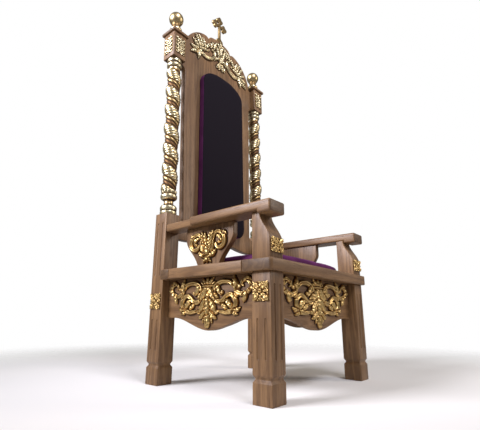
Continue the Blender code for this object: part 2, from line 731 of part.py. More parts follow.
def build_rosettes():
    for name, side in SIDES:
        turn = side * pi / 2
        face = side * (HALF_WIDTH + JOINT)
        for group, y, z in (("leg", LEG_MIDDLE_Y, LEG_ROSETTE_PLACE), ("post", POST_MIDDLE_Y, POST_ROSETTE_PLACE)):
            make_object(f"rosette_{group}_{name}", rosette(ROSETTE_SIZE, ROSETTE_SIZE, ROSETTE_RELIEF), gold,
                        chair, (face, y, z), turn)


def shaft_section():
    """The section of the twisted shaft: a fat band, a valley, a thinner rope and a valley."""
    shares = ((0, 1.0), (40, 0.98), (84, 0.76), (128, 0.85), (172, 0.92), (220, 0.85), (264, 0.76), (316, 0.97))
    return [(radians(angle), SHAFT_RADIUS * share) for angle, share in shares]


def column_mesh(hand):
    """Turned base, twisted shaft and capital, as one closed skin. The axis is the local Z."""
    section = shaft_section()
    foot = COLUMN_FOOT_HEIGHT
    base = COLUMN_BASE_RADIUS
    neck = COLUMN_NECK_RADIUS
    collar = COLUMN_COLLAR_RADIUS
    profile = [(base, -0.004), (base, 0.012), (base * 0.92, 0.018), (base, 0.024), (base, 0.036),
               (neck * 1.15, 0.056), (neck, 0.070), (collar, 0.082), (collar, 0.098), (collar * 0.86, 0.106)]
    rings = [[(hand * r * cos(a), r * sin(a), z) for a, _ in section] for r, z in profile]
    count = int(SHAFT_TURNS * SHAFT_RINGS_A_TURN)
    twist = 0.0
    for step in range(count + 1):
        share = step / count
        twist = 2 * pi * SHAFT_TURNS * share
        z = foot + (SHAFT_TOP - foot) * share
        rings.append([(hand * r * cos(a + twist), r * sin(a + twist), z) for a, r in section])
    rise = BLOCK_FOOT - JOINT - SHAFT_TOP
    capital = ((0.84, 0.08), (1.0, 0.25), (1.0, 0.50), (0.86, 0.62), (0.94, 0.74), (0.98, 1.0))
    for share, height in capital:
        r = CAPITAL_RADIUS * share
        z = SHAFT_TOP + rise * height
        rings.append([(hand * r * cos(a + twist), r * sin(a + twist), z) for a, _ in section])
    bm = loft(rings)
    level = Matrix.Rotation(LEAN, 3, "X") @ Vector((0, 0, 1))
    cut_flat(bm, level * JOINT, level)
    return bm


def finial_mesh():
    """A ball on a ringed neck, turned round the local Z."""
    foot = FINIAL_FOOT_RADIUS
    profile = [(foot, 0.0), (foot, 0.020), (foot * 0.88, 0.028), (foot * 0.94, 0.040), (foot * 0.80, 0.052)]
    join_angle = -58
    for step in range(7):
        angle = radians(join_angle + (82 - join_angle) * step / 6)
        profile.append((BALL_RADIUS * cos(angle), BALL_CENTRE + BALL_RADIUS * sin(angle)))
    turn = 2 * pi / FINIAL_SIDES
    rings = [[(r * cos(turn * i), r * sin(turn * i), z) for i in range(FINIAL_SIDES)] for r, z in profile]
    return loft(rings)


def build_columns():
    for name, side in SIDES:
        x = side * POST_MIDDLE_X
        make_object(f"column_{name}", column_mesh(side), gold, back, (x, 0, 0), smooth=radians(50))
        half = BLOCK_SIZE / 2
        block = box((-half, -half, BLOCK_FOOT), (half, half, BLOCK_TOP - JOINT))
        soften(make_object(f"block_{name}", block, oak, back, (x, 0, 0)), ARRIS)
        cap_half = CAP_SIZE / 2
        cap = box((-cap_half, -cap_half, BLOCK_TOP), (cap_half, cap_half, CAP_TOP))
        soften(make_object(f"cap_{name}", cap, oak, back, (x, 0, 0)), ARRIS)
        make_object(f"finial_{name}", finial_mesh(), gold, back, (x, 0, CAP_TOP + JOINT), smooth=radians(50))
        middle = (BLOCK_FOOT + BLOCK_TOP) / 2
        make_object(f"tile_front_{name}", rosette(TILE_WIDTH, TILE_HEIGHT, TILE_RELIEF), gold, back,
                    (x, -half - JOINT, middle))
        make_object(f"tile_side_{name}", rosette(TILE_WIDTH, TILE_HEIGHT, TILE_RELIEF), gold, back,
                    (x + side * (half + JOINT), 0, middle), side * pi / 2)


def panel_outline():
    """Right half of the back board, from the foot to the top of the crest, then mirrored."""
    fit = POST_MIDDLE_X - POST_SIZE / 2 - JOINT
    block_fit = POST_MIDDLE_X - BLOCK_SIZE / 2 - JOINT
    radius = PANEL_SHOULDER_RADIUS
    block_foot = POST_TOP + BLOCK_FOOT
    points = []
    for step in range(5):
        share = step / 4
        rise = PANEL_FOOT_RISE * (1 - ease(share))
        points.append((fit * 0.78 * share, PANEL_FOOT + rise))
    points.append((fit, PANEL_FOOT))
    points.append((fit, PANEL_LOW_SHOULDER - radius))
    low_reach = fit - PANEL_LOW_HALF
    for step in range(1, 4):
        angle = radians(90 * step / 3)
        points.append((PANEL_LOW_HALF + low_reach * (1 - sin(angle)), PANEL_LOW_SHOULDER - radius * cos(angle)))
    high_reach = block_fit - PANEL_HIGH_HALF
    for step in range(3):
        angle = radians(90 * step / 3)
        points.append((PANEL_HIGH_HALF + high_reach * (1 - cos(angle)), block_foot - radius + radius * sin(angle)))
    points.append((block_fit, block_foot))
    points.append((block_fit, CREST_SHOULDER))
    lobe_half = CREST_LOBE_HALF - CREST_LOBE_PLACE
    lobe_height = CREST_LOBE_TOP - CREST_LOBE_FOOT
    for step in range(9):
        angle = radians(90 * step / 8)
        across = max(0.0, cos(angle)) ** (2 / CREST_LOBE_POWER)
        up = sin(angle) ** (2 / CREST_LOBE_POWER)
        points.append((CREST_LOBE_PLACE + lobe_half * across, CREST_LOBE_FOOT + lobe_height * up))
    points.append((CREST_MIDDLE_HALF + 0.008, CREST_LOBE_TOP - CREST_NOTCH_DEPTH))
    for step in range(5):
        angle = radians(90 * step / 4)
        height = CREST_MIDDLE_TOP - CREST_LOBE_TOP
        points.append((CREST_MIDDLE_HALF * cos(angle), CREST_LOBE_TOP + height * sin(angle)))
    return mirror_outline(points)


def pad_outline(inset):
    """A tall pad with rounded lower corners and an arched top, drawn in by an inset."""
    half = PAD_HALF - inset
    low = PAD_FOOT + inset
    high = PAD_TOP - inset
    points = [(0.0, low)]
    for step in range(4):
        angle = radians(-90 + 90 * step / 3)
        points.append((half - PAD_CORNER * (1 - cos(angle)), low + PAD_CORNER_HEIGHT * (1 + sin(angle))))
    for step in range(7):
        angle = radians(90 * step / 6)
        across = max(0.0, cos(angle)) ** (2 / PAD_ARCH_POWER)
        up = sin(angle) ** (2 / PAD_ARCH_POWER)
        points.append((half * across, high - PAD_ARCH_RISE * (1 - up)))
    return mirror_outline(points)


def build_back():
    drop = POST_TOP
    outline = [(x, z - drop) for x, z in panel_outline()]
    make_object("back_panel", board(outline, PANEL_THICK), oak, back, (0, PANEL_FACE, 0))
    rings = []
    for inset, depth in ((0.0, 0.0), (0.0, 0.80), (0.004, 0.94), (0.012, 1.0)):
        rings.append([(x, -PAD_THICK * depth, z - drop) for x, z in pad_outline(inset)])
    make_object("back_pad", loft(rings), black_velvet, back, (0, PANEL_FACE - JOINT, 0), smooth=radians(40))
    carved = carving("crest_ornament", crest_strokes(), CREST_CARVING_HALF, CREST_CARVING_HEIGHT,
                     CREST_CARVING_RELIEF)
    make_object("crest_ornament", carved, gold, back, (0, PANEL_FACE - JOINT, CREST_CARVING_FOOT - drop))


def trefoil(centre, heading):
    """Three buds in a clover round a point, as the end of an arm that runs to a heading in degrees."""
    reach = BUD_RADIUS * 1.05
    joint = 35
    points = []
    for turn, start, end in ((-90, -180 - joint, 3), (0, -87, 87), (90, -3, 180 + joint)):
        around = radians(turn + heading)
        bud = (centre[0] + reach * cos(around), centre[1] + reach * sin(around))
        points += arc(bud, BUD_RADIUS, start + heading, end + heading, 4)
    return points


def build_cross():
    """Upright and arms with clover ends, on a small leaf that stands on the crest."""
    half = CROSS_BAR / 2
    top = CROSS_HEIGHT - 2.05 * BUD_RADIUS
    outline = [(-CROSS_LEAF_HALF, 0.0), (CROSS_LEAF_HALF, 0.0), (half * 1.6, CROSS_LEAF_HEIGHT * 0.6)]
    outline += [(half, CROSS_LEAF_HEIGHT), (half, CROSS_ARM_PLACE - half)]
    outline += trefoil((CROSS_ARM_HALF, CROSS_ARM_PLACE), 0)
    outline += [(half, CROSS_ARM_PLACE + half)]
    outline += trefoil((0.0, top), 90)
    outline += [(-half, CROSS_ARM_PLACE + half)]
    outline += trefoil((-CROSS_ARM_HALF, CROSS_ARM_PLACE), 180)
    outline += [(-half, CROSS_ARM_PLACE - half), (-half, CROSS_LEAF_HEIGHT)]
    outline += [(-half * 1.6, CROSS_LEAF_HEIGHT * 0.6)]
    make_object("cross", board(outline, CROSS_THICK), gold, back,
                (0, PANEL_FACE, CREST_MIDDLE_TOP - POST_TOP + JOINT))


clear_scene()
oak = make_material("oak", (0.30, 0.20, 0.12), 0.45, 0.0)
gold = make_material("gilding", (0.72, 0.53, 0.22), 0.28, 1.0)
purple_velvet = make_material("purple_velvet", (0.09, 0.02, 0.10), 0.9, 0.0)
black_velvet = make_material("black_velvet", (0.016, 0.012, 0.020), 0.9, 0.0)
chair = make_empty("chair", None, (0, -(REACH_BACK + DECK_FRONT) / 2, 0))
back = make_empty("back", chair, (0, POST_MIDDLE_Y, POST_TOP), (-LEAN, 0, 0))
build_legs()
build_aprons()
build_deck()
build_cushion()
build_arms()
build_supports()
build_splats()
build_rosettes()
build_columns()
build_back()
build_cross()
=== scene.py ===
"""Looks of a tall carved oak chair with gilded ornament, a low seat cushion and a padded back.

Metres, +Z up, the chair faces -Y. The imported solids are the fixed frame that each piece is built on.
"""
from functools import partial
from math import cos, pi, radians, sin, sqrt

import bmesh
import bpy
import numpy as np
from mathutils import Matrix, Vector


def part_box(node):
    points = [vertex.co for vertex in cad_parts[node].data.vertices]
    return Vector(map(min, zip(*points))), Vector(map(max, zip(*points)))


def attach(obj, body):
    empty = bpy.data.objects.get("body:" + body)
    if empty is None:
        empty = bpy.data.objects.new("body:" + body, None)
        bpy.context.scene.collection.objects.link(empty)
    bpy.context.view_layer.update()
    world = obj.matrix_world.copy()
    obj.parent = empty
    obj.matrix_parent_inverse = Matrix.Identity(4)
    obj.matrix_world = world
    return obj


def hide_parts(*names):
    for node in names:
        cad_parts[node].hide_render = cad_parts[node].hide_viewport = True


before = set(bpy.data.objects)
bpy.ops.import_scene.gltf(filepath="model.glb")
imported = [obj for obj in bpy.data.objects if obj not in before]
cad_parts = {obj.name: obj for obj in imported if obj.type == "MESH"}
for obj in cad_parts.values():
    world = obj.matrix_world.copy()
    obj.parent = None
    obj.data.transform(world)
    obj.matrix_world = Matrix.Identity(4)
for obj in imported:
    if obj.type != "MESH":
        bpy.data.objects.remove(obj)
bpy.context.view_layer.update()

# Oak boards and posts. All the bare wood is European oak, planed, eased at the edges and waxed.
# The wax gives a soft sheen, and the open pores show as short dark streaks along the grain.
# The pattern sizes are in mm, across the grain and along it.
OAK_LIGHT = "886745"
OAK_MID = "715336"
OAK_PORE = "452D1B"
OAK_END_SHARE = 0.55
OAK_RING_MM = (60, 900)
OAK_RING_COUNT = 30
OAK_PORE_MM = (2.2, 50)
OAK_TONE_MM = (150, 420)
OAK_STAVE_MM = 74


def linear(code):
    """Linear colour of an sRGB hex code."""
    parts = [int(code[i:i + 2], 16) / 255 for i in (0, 2, 4)]
    return [p / 12.92 if p <= 0.04045 else ((p + 0.055) / 1.055) ** 2.4 for p in parts] + [1.0]


def connect(node, links):
    """Feeds each named input of a node from a socket, or from the first output of another node."""
    for name, source in links.items():
        node.id_data.links.new(getattr(source, "outputs", [source])[0], node.inputs[name])


def add_node(tree, kind, settings=None, links=None):
    """A node with its settings, where a name that is no socket is a property, and its incoming links."""
    node = tree.nodes.new("ShaderNode" + kind)
    for name, value in (settings or {}).items():
        if name == "stops":
            elements = node.color_ramp.elements
            elements[0].position, elements[0].color = value[0]
            elements[1].position, elements[1].color = value[-1]
            for position, colour in value[1:-1]:
                elements.new(position).color = colour
        elif isinstance(name, int) or name in node.inputs:
            node.inputs[name].default_value = value
        else:
            setattr(node, name, value)
    connect(node, links or {})
    return node


def new_finish(name, constants):
    """A new material, the call that adds a node to it, its shader with some constants set, and the
    place on the piece."""
    material = bpy.data.materials.new(name)
    material.use_nodes = True
    add = partial(add_node, material.node_tree)
    shader = material.node_tree.nodes["Principled BSDF"]
    for socket, value in constants.items():
        shader.inputs[socket].default_value = value
    return material, add, shader, add("TexCoord").outputs["Object"]


def waxed_oak(name, grain, stave_mm=None):
    """Waxed oak, whole or glued up from staves, with its grain along X, Y or Z for 0, 1 or 2."""
    material, add, shader, place = new_finish(name, {"Specular IOR Level": 0.35})

    def drawn_out(across, along):
        scale = [1000 / across] * 3
        scale[grain] = 1000 / along
        return add("Mapping", {"Scale": scale, "Location": (3.1 * grain, 1.7, 0.4)}, {"Vector": place})

    def multiplied(colour, share):
        return add("Mix", {"data_type": "RGBA", "blend_type": "MULTIPLY", 0: 1.0}, {6: colour.outputs[2], 7: share})

    hills = add("TexNoise", {"Scale": 1.0, "Detail": 1.6, "Roughness": 0.45}, {"Vector": drawn_out(*OAK_RING_MM)})
    turns = add("Math", {"operation": "MULTIPLY", 1: OAK_RING_COUNT * 2 * pi / 4}, {0: hills})
    waves = add("Math", {"operation": "SINE"}, {0: turns})
    rings = add("MapRange", {"From Min": -1.0, "From Max": 1.0}, {"Value": waves})
    streaks = add("TexNoise", {"Scale": 1.0, "Detail": 2.5, "Roughness": 0.6}, {"Vector": drawn_out(*OAK_PORE_MM)})
    pores = add("ValToRGB", {"stops": [(0.50, (0, 0, 0, 1)), (0.72, (1, 1, 1, 1))]}, {"Fac": streaks})
    cloudy = add("TexNoise", {"Scale": 1.0, "Detail": 2.0}, {"Vector": drawn_out(*OAK_TONE_MM)})
    wood = add("Mix", {"data_type": "RGBA", 6: linear(OAK_LIGHT), 7: linear(OAK_MID)}, {0: rings})
    porous = add("Math", {"operation": "MULTIPLY", 1: 0.62}, {0: pores})
    grained = add("Mix", {"data_type": "RGBA", 7: linear(OAK_PORE)}, {0: porous, 6: wood.outputs[2]})
    tone = add("ValToRGB", {"stops": [(0.30, (0.74, 0.72, 0.70, 1)), (0.70, (1.0, 1.0, 1.0, 1))]},
               {"Fac": cloudy})
    toned = multiplied(grained, tone)
    if stave_mm:
        sides = add("VectorMath", {"operation": "DOT_PRODUCT", 1: (1000 / stave_mm,) * 2 + (0,)}, {0: place})
        number = add("Math", {"operation": "FLOOR"}, {0: sides.outputs["Value"]})
        chance = add("TexWhiteNoise", {"noise_dimensions": "1D"}, {"W": number})
        shade = add("MapRange", {"To Min": 0.78, "To Max": 1.10}, {"Value": chance})
        toned = multiplied(toned, shade)
    facing = add("NewGeometry")
    split = add("SeparateXYZ", {}, {0: facing.outputs["Normal"]})
    along = add("Math", {"operation": "ABSOLUTE"}, {0: split.outputs[grain]})
    thirst = add("MapRange", {"From Min": 0.6, "From Max": 0.9, "To Min": 1.0, "To Max": OAK_END_SHARE},
                 {"Value": along})
    sheen = add("MapRange", {"To Min": 0.42, "To Max": 0.62}, {"Value": pores})
    relief = add("Bump", {"Strength": 0.35, "Distance": 0.0005, "invert": True}, {"Height": pores})
    connect(shader, {"Base Color": multiplied(toned, thirst).outputs[2], "Roughness": sheen, "Normal": relief})
    return material


oak_across = waxed_oak("waxed_oak_across", 0)
oak_deep = waxed_oak("waxed_oak_deep", 1)
oak_upright = waxed_oak("waxed_oak_upright", 2)
oak_staves = waxed_oak("waxed_oak_staves", 2, OAK_STAVE_MM)


def only(piece):
    """Selects one piece alone, and makes it active."""
    bpy.ops.object.select_all(action="DESELECT")
    piece.select_set(True)
    bpy.context.view_layer.objects.active = piece


def apply_all(piece):
    """Applies every modifier of a piece, in order."""
    only(piece)
    for modifier in list(piece.modifiers):
        bpy.ops.object.modifier_apply(modifier=modifier.name)


def begin(name, primitive, **sizes):
    """Adds a primitive by its operator, alone in the selection, and names it."""
    bpy.ops.object.select_all(action="DESELECT")
    primitive(**sizes)
    piece = bpy.context.object
    piece.name = name
    return piece


def settle(piece, place):
    """Moves a piece to its place, with the place kept in its mesh."""
    piece.matrix_world = place
    only(piece)
    bpy.ops.object.transform_apply(location=True, rotation=True, scale=True)


def finish_piece(piece, material, node, place=Matrix(), angle=35):
    """The place, smooth shading, the finish, and the node that a piece stands for."""
    settle(piece, place)
    bpy.ops.object.shade_smooth_by_angle(angle=radians(angle))
    piece.data.materials.clear()
    piece.data.materials.append(material)
    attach(piece, "root")
    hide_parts(node)


def ease_edges(piece, width, segments=3, angle=35):
    """Edges rounded over with a small radius."""
    bevel = piece.modifiers.new("eased", "BEVEL")
    bevel.width = width
    bevel.segments = segments
    bevel.limit_method = "ANGLE"
    bevel.angle_limit = radians(angle)
    apply_all(piece)


def planed_copy(name, node, width, material):
    """A straight board of the frame, with its edges eased a little more."""
    piece = bpy.data.objects.new(name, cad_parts[node].data.copy())
    bpy.context.collection.objects.link(piece)
    only(piece)
    bpy.ops.object.mode_set(mode="EDIT")
    bpy.ops.mesh.select_all(action="SELECT")
    bpy.ops.mesh.remove_doubles(threshold=0.00002)
    bpy.ops.mesh.dissolve_limited(angle_limit=radians(0.5))
    bpy.ops.object.mode_set(mode="OBJECT")
    ease_edges(piece, width, 2, 25)
    finish_piece(piece, material, node)


# Legs and rear posts. Each is one square oak baulk with a worked notch above its foot block, and
# pairs of stopped flutes cut with a round gouge in the faces that show.
ENDS = (("left", -1), ("right", 1))
FLUTE_RADIUS = 0.0052
FLUTE_OFFSET = 0.017
FLUTE_PROUD = 0.0012
NOTCH_FOOT = 0.0685
NOTCH_TOP = 0.0920
NOTCH_FLOOR = (0.07725, 0.08125)
NOTCH_IN = 0.0065
POST_EDGE = 0.0028
LEG_FLUTES = (0.138, 0.275)
LEG_LONG_FLUTES = (0.138, 0.393)
POST_FLUTES = ((0.138, 0.268), (0.456, 0.705))


def gouge(across, along, low, high):
    """A round-ended gouge cut between two heights, as a capsule to cut with."""
    cutter = begin("gouge", bpy.ops.mesh.primitive_uv_sphere_add, segments=16, ring_count=8,
                   radius=FLUTE_RADIUS, location=(across, along, low + FLUTE_RADIUS))
    for vert in cutter.data.vertices:
        if vert.co.z > 0.0001:
            vert.co.z += high - low - 2 * FLUTE_RADIUS
    return cutter


def turned_square(name, node, cuts):
    """A square post of the frame's size, with its notch, its eased edges and its flutes."""
    low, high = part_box(node)
    middle = (low + high) / 2
    half = (high.x - low.x) / 2
    post = begin(name, bpy.ops.mesh.primitive_cube_add, size=1.0, location=middle)
    post.scale = high - low
    bpy.ops.object.transform_apply(location=True, rotation=False, scale=True)
    bpy.ops.object.mode_set(mode="EDIT")
    for height in (NOTCH_FOOT, *NOTCH_FLOOR, NOTCH_TOP):
        bpy.ops.mesh.select_all(action="SELECT")
        bpy.ops.mesh.bisect(plane_co=(0, 0, height), plane_no=(0, 0, 1))
    bpy.ops.object.mode_set(mode="OBJECT")
    for vert in post.data.vertices:
        if NOTCH_FOOT + 0.001 < vert.co.z < NOTCH_TOP - 0.001:
            vert.co.xy = middle.xy + (vert.co.xy - middle.xy) * (1 - NOTCH_IN / half)
    ease_edges(post, POST_EDGE, 3, 25)
    cutters = []
    for face_x, face_y, foot, top in cuts:
        for side in (-1, 1):
            across = middle.x + face_x * (half + FLUTE_PROUD) + abs(face_y) * side * FLUTE_OFFSET
            along = middle.y + face_y * (half + FLUTE_PROUD) + abs(face_x) * side * FLUTE_OFFSET
            cutters.append(gouge(across, along, foot, top))
    bpy.ops.object.select_all(action="DESELECT")
    for cutter in cutters:
        cutter.select_set(True)
    bpy.context.view_layer.objects.active = cutters[0]
    bpy.ops.object.join()
    bpy.ops.object.transform_apply(location=True, rotation=True, scale=True)
    flutes = post.modifiers.new("flutes", "BOOLEAN")
    flutes.operation = "DIFFERENCE"
    flutes.object = cutters[0]
    apply_all(post)
    bpy.data.objects.remove(cutters[0], do_unlink=True)
    finish_piece(post, oak_upright, node, angle=28)


for end, side in ENDS:
    turned_square(f"fluted_leg_{end}", f"front_leg_{end}", [(0, -1, *LEG_LONG_FLUTES), (side, 0, *LEG_FLUTES)])
    turned_square(f"fluted_post_{end}", f"rear_post_{end}", [(side, 0, *flutes) for flutes in POST_FLUTES])


# Aprons. Oak boards between the legs, sawn below to a smooth double curve that drops to the middle.
APRON_EDGE = 0.0025
APRON_DROP = 0.048
APRON_END = 0.274
APRON_FLAT = 0.18
CURVE_STEPS = 28


def sawn_board(name, outline, thickness, arris, segments=3):
    """A board sawn to an outline of (across, up) points, with its front at y = 0 and eased edges."""
    piece = begin(name, bpy.ops.mesh.primitive_circle_add, vertices=len(outline), fill_type="NGON")
    for vert, (across, up) in zip(piece.data.vertices, outline):
        vert.co = (across, 0.0, up)
    bpy.ops.object.mode_set(mode="EDIT")
    bpy.ops.mesh.select_all(action="SELECT")
    bpy.ops.mesh.extrude_region_move(TRANSFORM_OT_translate={"value": (0, thickness, 0)})
    bpy.ops.mesh.select_all(action="SELECT")
    bpy.ops.mesh.normals_make_consistent(inside=False)
    bpy.ops.object.mode_set(mode="OBJECT")
    ease_edges(piece, arris, segments)
    return piece


def ease(share):
    """A smooth step from 0 to 1."""
    return share * share * (3 - 2 * share)


def both_sides(right):
    """A closed outline from its right half, which runs from the foot to the top."""
    return right + [(-x, z) for x, z in reversed(right) if x > 1e-6]


def shares(steps):
    """Even steps from 0 to 1."""
    return [step / steps for step in range(steps + 1)]


def apron_outline(half, top):
    """The double curve of the lower edge, between two straight ends and the straight top."""
    flat = half * (1 - APRON_FLAT)
    droop = [(flat * share, APRON_END - APRON_DROP * ease(1 - share)) for share in shares(CURVE_STEPS)]
    return both_sides(droop + [(half, APRON_END), (half, top)])


def face_of(node, side):
    """The frame of a board's outer face: its front for side 0, else its left (-1) or right (1) face."""
    low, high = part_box(node)
    middle = (low + high) / 2
    if side == 0:
        return Matrix.Translation((middle.x, low.y, 0))
    place = Matrix.Translation((side * max(abs(low.x), abs(high.x)), middle.y, 0))
    return place @ Matrix.Rotation(side * pi / 2, 4, "Z")


for end, side in (("front", 0), ("rear", 0), ("left", -1), ("right", 1)):
    low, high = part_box(f"apron_{end}")
    thick, across = sorted(tuple(high - low)[:2])
    apron = sawn_board(f"apron_board_{end}", apron_outline(across / 2, high.z), thick, APRON_EDGE)
    finish_piece(apron, oak_deep if side else oak_across, f"apron_{end}", face_of(f"apron_{end}", side))


# Seat deck. Four thick oak boards with rounded front corners round a thinner seat panel.
DECK_EDGE = 0.0016
DECK_PANEL_EDGE = 0.001

for end, finish in (("front", oak_across), ("rear", oak_across), ("left", oak_deep), ("right", oak_deep)):
    planed_copy(f"deck_board_{end}", f"deck_{end}", DECK_EDGE, finish)
planed_copy("deck_panel", "seat_panel", DECK_PANEL_EDGE, oak_across)


# Armrests, their supports and the side boards. The armrest is one oak board with well rounded edges.
# The S-shaped support stands on the deck's front corner, and the vase-shaped board is let in between.
ARM_EDGE = 0.0026
SUPPORT_EDGE = 0.003
SUPPORT_WAIST = 0.075
SUPPORT_HAND_DROP = 0.012
SUPPORT_NECK = 0.036
SPLAT_EDGE = 0.003
SPLAT_FOOT_HALF = 0.065
SPLAT_BEND_SHARE = 0.22
# The vase board widens from its foot between these shares of its height
SPLAT_CURVE = (0.08, 0.70)

for end, side in ENDS:
    planed_copy(f"armrest_board_{end}", f"armrest_{end}", ARM_EDGE, oak_deep)
    low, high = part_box(f"arm_support_{end}")
    size = high - low
    foot_top = low.z + SUPPORT_WAIST
    outline = [(size.y, low.z), (size.y, high.z), (size.y - SUPPORT_NECK, high.z)]
    for step in range(CURVE_STEPS + 1):
        share = 1 - step / CURVE_STEPS
        setback = (size.y - SUPPORT_NECK) * (0.55 * ease(share) + 0.45 * share)
        outline.append((setback, foot_top + (high.z - SUPPORT_HAND_DROP - foot_top) * share))
    outline.append((0.0, low.z))
    stump = sawn_board(f"support_stump_{end}", outline, size.x, SUPPORT_EDGE)
    place = Matrix.Translation((high.x, low.y, 0)) @ Matrix.Rotation(pi / 2, 4, "Z")
    finish_piece(stump, oak_upright, f"arm_support_{end}", place)
    low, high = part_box(f"splat_{end}")
    size = high - low
    right = []
    for share in shares(CURVE_STEPS):
        bend = max(0.0, min(1.0, (share - SPLAT_CURVE[0]) / (SPLAT_CURVE[1] - SPLAT_CURVE[0])))
        spread = bend ** 0.5 * SPLAT_BEND_SHARE + ease(bend) * (1 - SPLAT_BEND_SHARE)
        right.append((SPLAT_FOOT_HALF + (size.y / 2 - SPLAT_FOOT_HALF) * spread, low.z + size.z * share))
    vase = sawn_board(f"vase_board_{end}", both_sides(right), size.x, SPLAT_EDGE)
    finish_piece(vase, oak_staves, f"splat_{end}", face_of(f"splat_{end}", side))


# Back panel. One tall oak board with a wavy foot, shoulders that fit between the posts and the
# blocks, and a crest of two lobes and a middle hump. It leans back a little from the post tops.
LEAN = radians(1.34)
PANEL_EDGE = 0.003
PANEL_FACE = -0.0115
PANEL_THICK = 0.033
PANEL_FIT = 0.0003
PANEL_FOOT = 0.640
PANEL_FOOT_RISE = 0.032
FOOT_WAVE_SHARE = 0.78
PANEL_LOW_HALF = 0.264
PANEL_HIGH_HALF = 0.282
SHOULDER_RADIUS = 0.024
PANEL_LOW_SHOULDER = 0.745
CREST_SHOULDER = 1.772
LOBE_FOOT = 1.780
LOBE_HALF = 0.287
LOBE_TOP = 1.955
LOBE_PLACE = 0.121
LOBE_POWER = 1.75
HUMP_HALF = 0.092
HUMP_TOP = 1.984
# The sawn nick between a lobe and the hump: out from the hump, and up from the lobe's top
CREST_NICK = ((0.016, -0.004), (0.008, -0.011))
post_low, post_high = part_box("rear_post_right")
POST_TOP = post_high.z
POST_Y = (post_low.y + post_high.y) / 2
POST_X = (post_low.x + post_high.x) / 2
BLOCK_HALF = 0.04325
BLOCK_RISE = 0.879
BLOCK_FOOT = POST_TOP + BLOCK_RISE
back_frame = Matrix.Translation((0, POST_Y, POST_TOP)) @ Matrix.Rotation(-LEAN, 4, "X")


def sweep(first, last, steps):
    """Angles in even steps between two in degrees, both included."""
    return [radians(first + (last - first) * step / steps) for step in range(steps + 1)]


def panel_outline():
    """From the wavy foot past both shoulders to the lobes and the hump, and back down the other side."""
    fit = post_low.x - PANEL_FIT
    block_fit = POST_X - BLOCK_HALF - PANEL_FIT
    points = [(fit * FOOT_WAVE_SHARE * share, PANEL_FOOT + PANEL_FOOT_RISE * (1 - ease(share)))
              for share in shares(16)]
    points += [(fit, PANEL_FOOT), (fit, PANEL_LOW_SHOULDER - SHOULDER_RADIUS)]
    for angle in sweep(0, 90, 8)[1:]:
        points.append((PANEL_LOW_HALF + (fit - PANEL_LOW_HALF) * (1 - sin(angle)),
                       PANEL_LOW_SHOULDER - SHOULDER_RADIUS * cos(angle)))
    for angle in sweep(0, 90, 8)[:-1]:
        points.append((PANEL_HIGH_HALF + (block_fit - PANEL_HIGH_HALF) * (1 - cos(angle)),
                       BLOCK_FOOT - SHOULDER_RADIUS * (1 - sin(angle))))
    points += [(block_fit, BLOCK_FOOT), (block_fit, CREST_SHOULDER)]
    for angle in sweep(0, 90, 28):
        across = max(0.0, cos(angle)) ** (2 / LOBE_POWER)
        up = sin(angle) ** (2 / LOBE_POWER)
        points.append((LOBE_PLACE + (LOBE_HALF - LOBE_PLACE) * across, LOBE_FOOT + (LOBE_TOP - LOBE_FOOT) * up))
    points += [(HUMP_HALF + out, LOBE_TOP + up) for out, up in CREST_NICK]
    for angle in sweep(0, 90, 16):
        points.append((HUMP_HALF * cos(angle), LOBE_TOP + (HUMP_TOP - LOBE_TOP) * sin(angle)))
    return both_sides([(x, z - POST_TOP) for x, z in points])


panel = sawn_board("back_board", panel_outline(), PANEL_THICK, PANEL_EDGE)
finish_piece(panel, oak_staves, "back_panel", back_frame @ Matrix.Translation((0, PANEL_FACE, 0)))


# Blocks and cap plates. Plain oak blocks on the columns, each under a thin square plate.
BLOCK_EDGE = 0.0012

for end in ("left", "right"):
    planed_copy(f"oak_block_{end}", f"block_{end}", BLOCK_EDGE, oak_upright)
    planed_copy(f"oak_cap_{end}", f"cap_{end}", BLOCK_EDGE, oak_across)


# Columns. Turned and carved lime wood, leaf gilded and burnished over a red ground. The hollows are
# darkened towards that ground, partly the real ground showing and partly painted shade. A fat leafy
# band and two smooth strands wind up the shaft, right-handed and left-handed.
# Tones of the gold from the raised tops down into the recesses: the darkening is painted shade, and the darkest,
# the red ground, is partly the real ground and partly painted shade.
GOLD_HIGH = "D0C4A2"
GOLD = "A68E62"
GOLD_LOW = "5C4022"
GOLD_GROUND_AND_SHADE = "2A170D"
GOLD_BURNISH_MM = 22
GOLD_TOOL_MM = 2.2


def leaf_gilding(name, high, middle, low):
    """Gold leaf. A point attribute from 0 to 1 darkens it in the recesses as painted shade, down to a red ground
    that partly shows there for real, and makes it less metallic there.
    """
    material, add, shader, place = new_finish(name, {})
    depth = add("Attribute", {"attribute_name": "hollow"})
    patches = add("TexNoise", {"Scale": 1000 / GOLD_BURNISH_MM, "Detail": 3.0}, {"Vector": place})
    uneven = add("Math", {"operation": "MULTIPLY_ADD", 1: 0.20, 2: -0.04}, {0: patches})
    shift = add("Math", {"operation": "ADD", "use_clamp": True}, {0: depth.outputs["Fac"], 1: uneven})
    stops = [(0.0, linear(high)), (0.22, linear(middle)), (0.62, linear(low)), (0.95, linear(GOLD_GROUND_AND_SHADE))]
    leaf = add("ValToRGB", {"stops": stops}, {"Fac": shift})
    metal = add("MapRange", {"From Min": 0.45, "From Max": 1.0, "To Min": 1.0, "To Max": 0.35},
                {"Value": shift})
    dull = add("MapRange", {"To Min": 0.30, "To Max": 0.62}, {"Value": shift})
    marks = add("TexNoise", {"Scale": 1000 / GOLD_TOOL_MM, "Detail": 1.5}, {"Vector": place})
    tooled = add("Bump", {"Strength": 0.06, "Distance": 0.0005}, {"Height": marks})
    connect(shader, {"Base Color": leaf, "Metallic": metal, "Roughness": dull, "Normal": tooled})
    return material


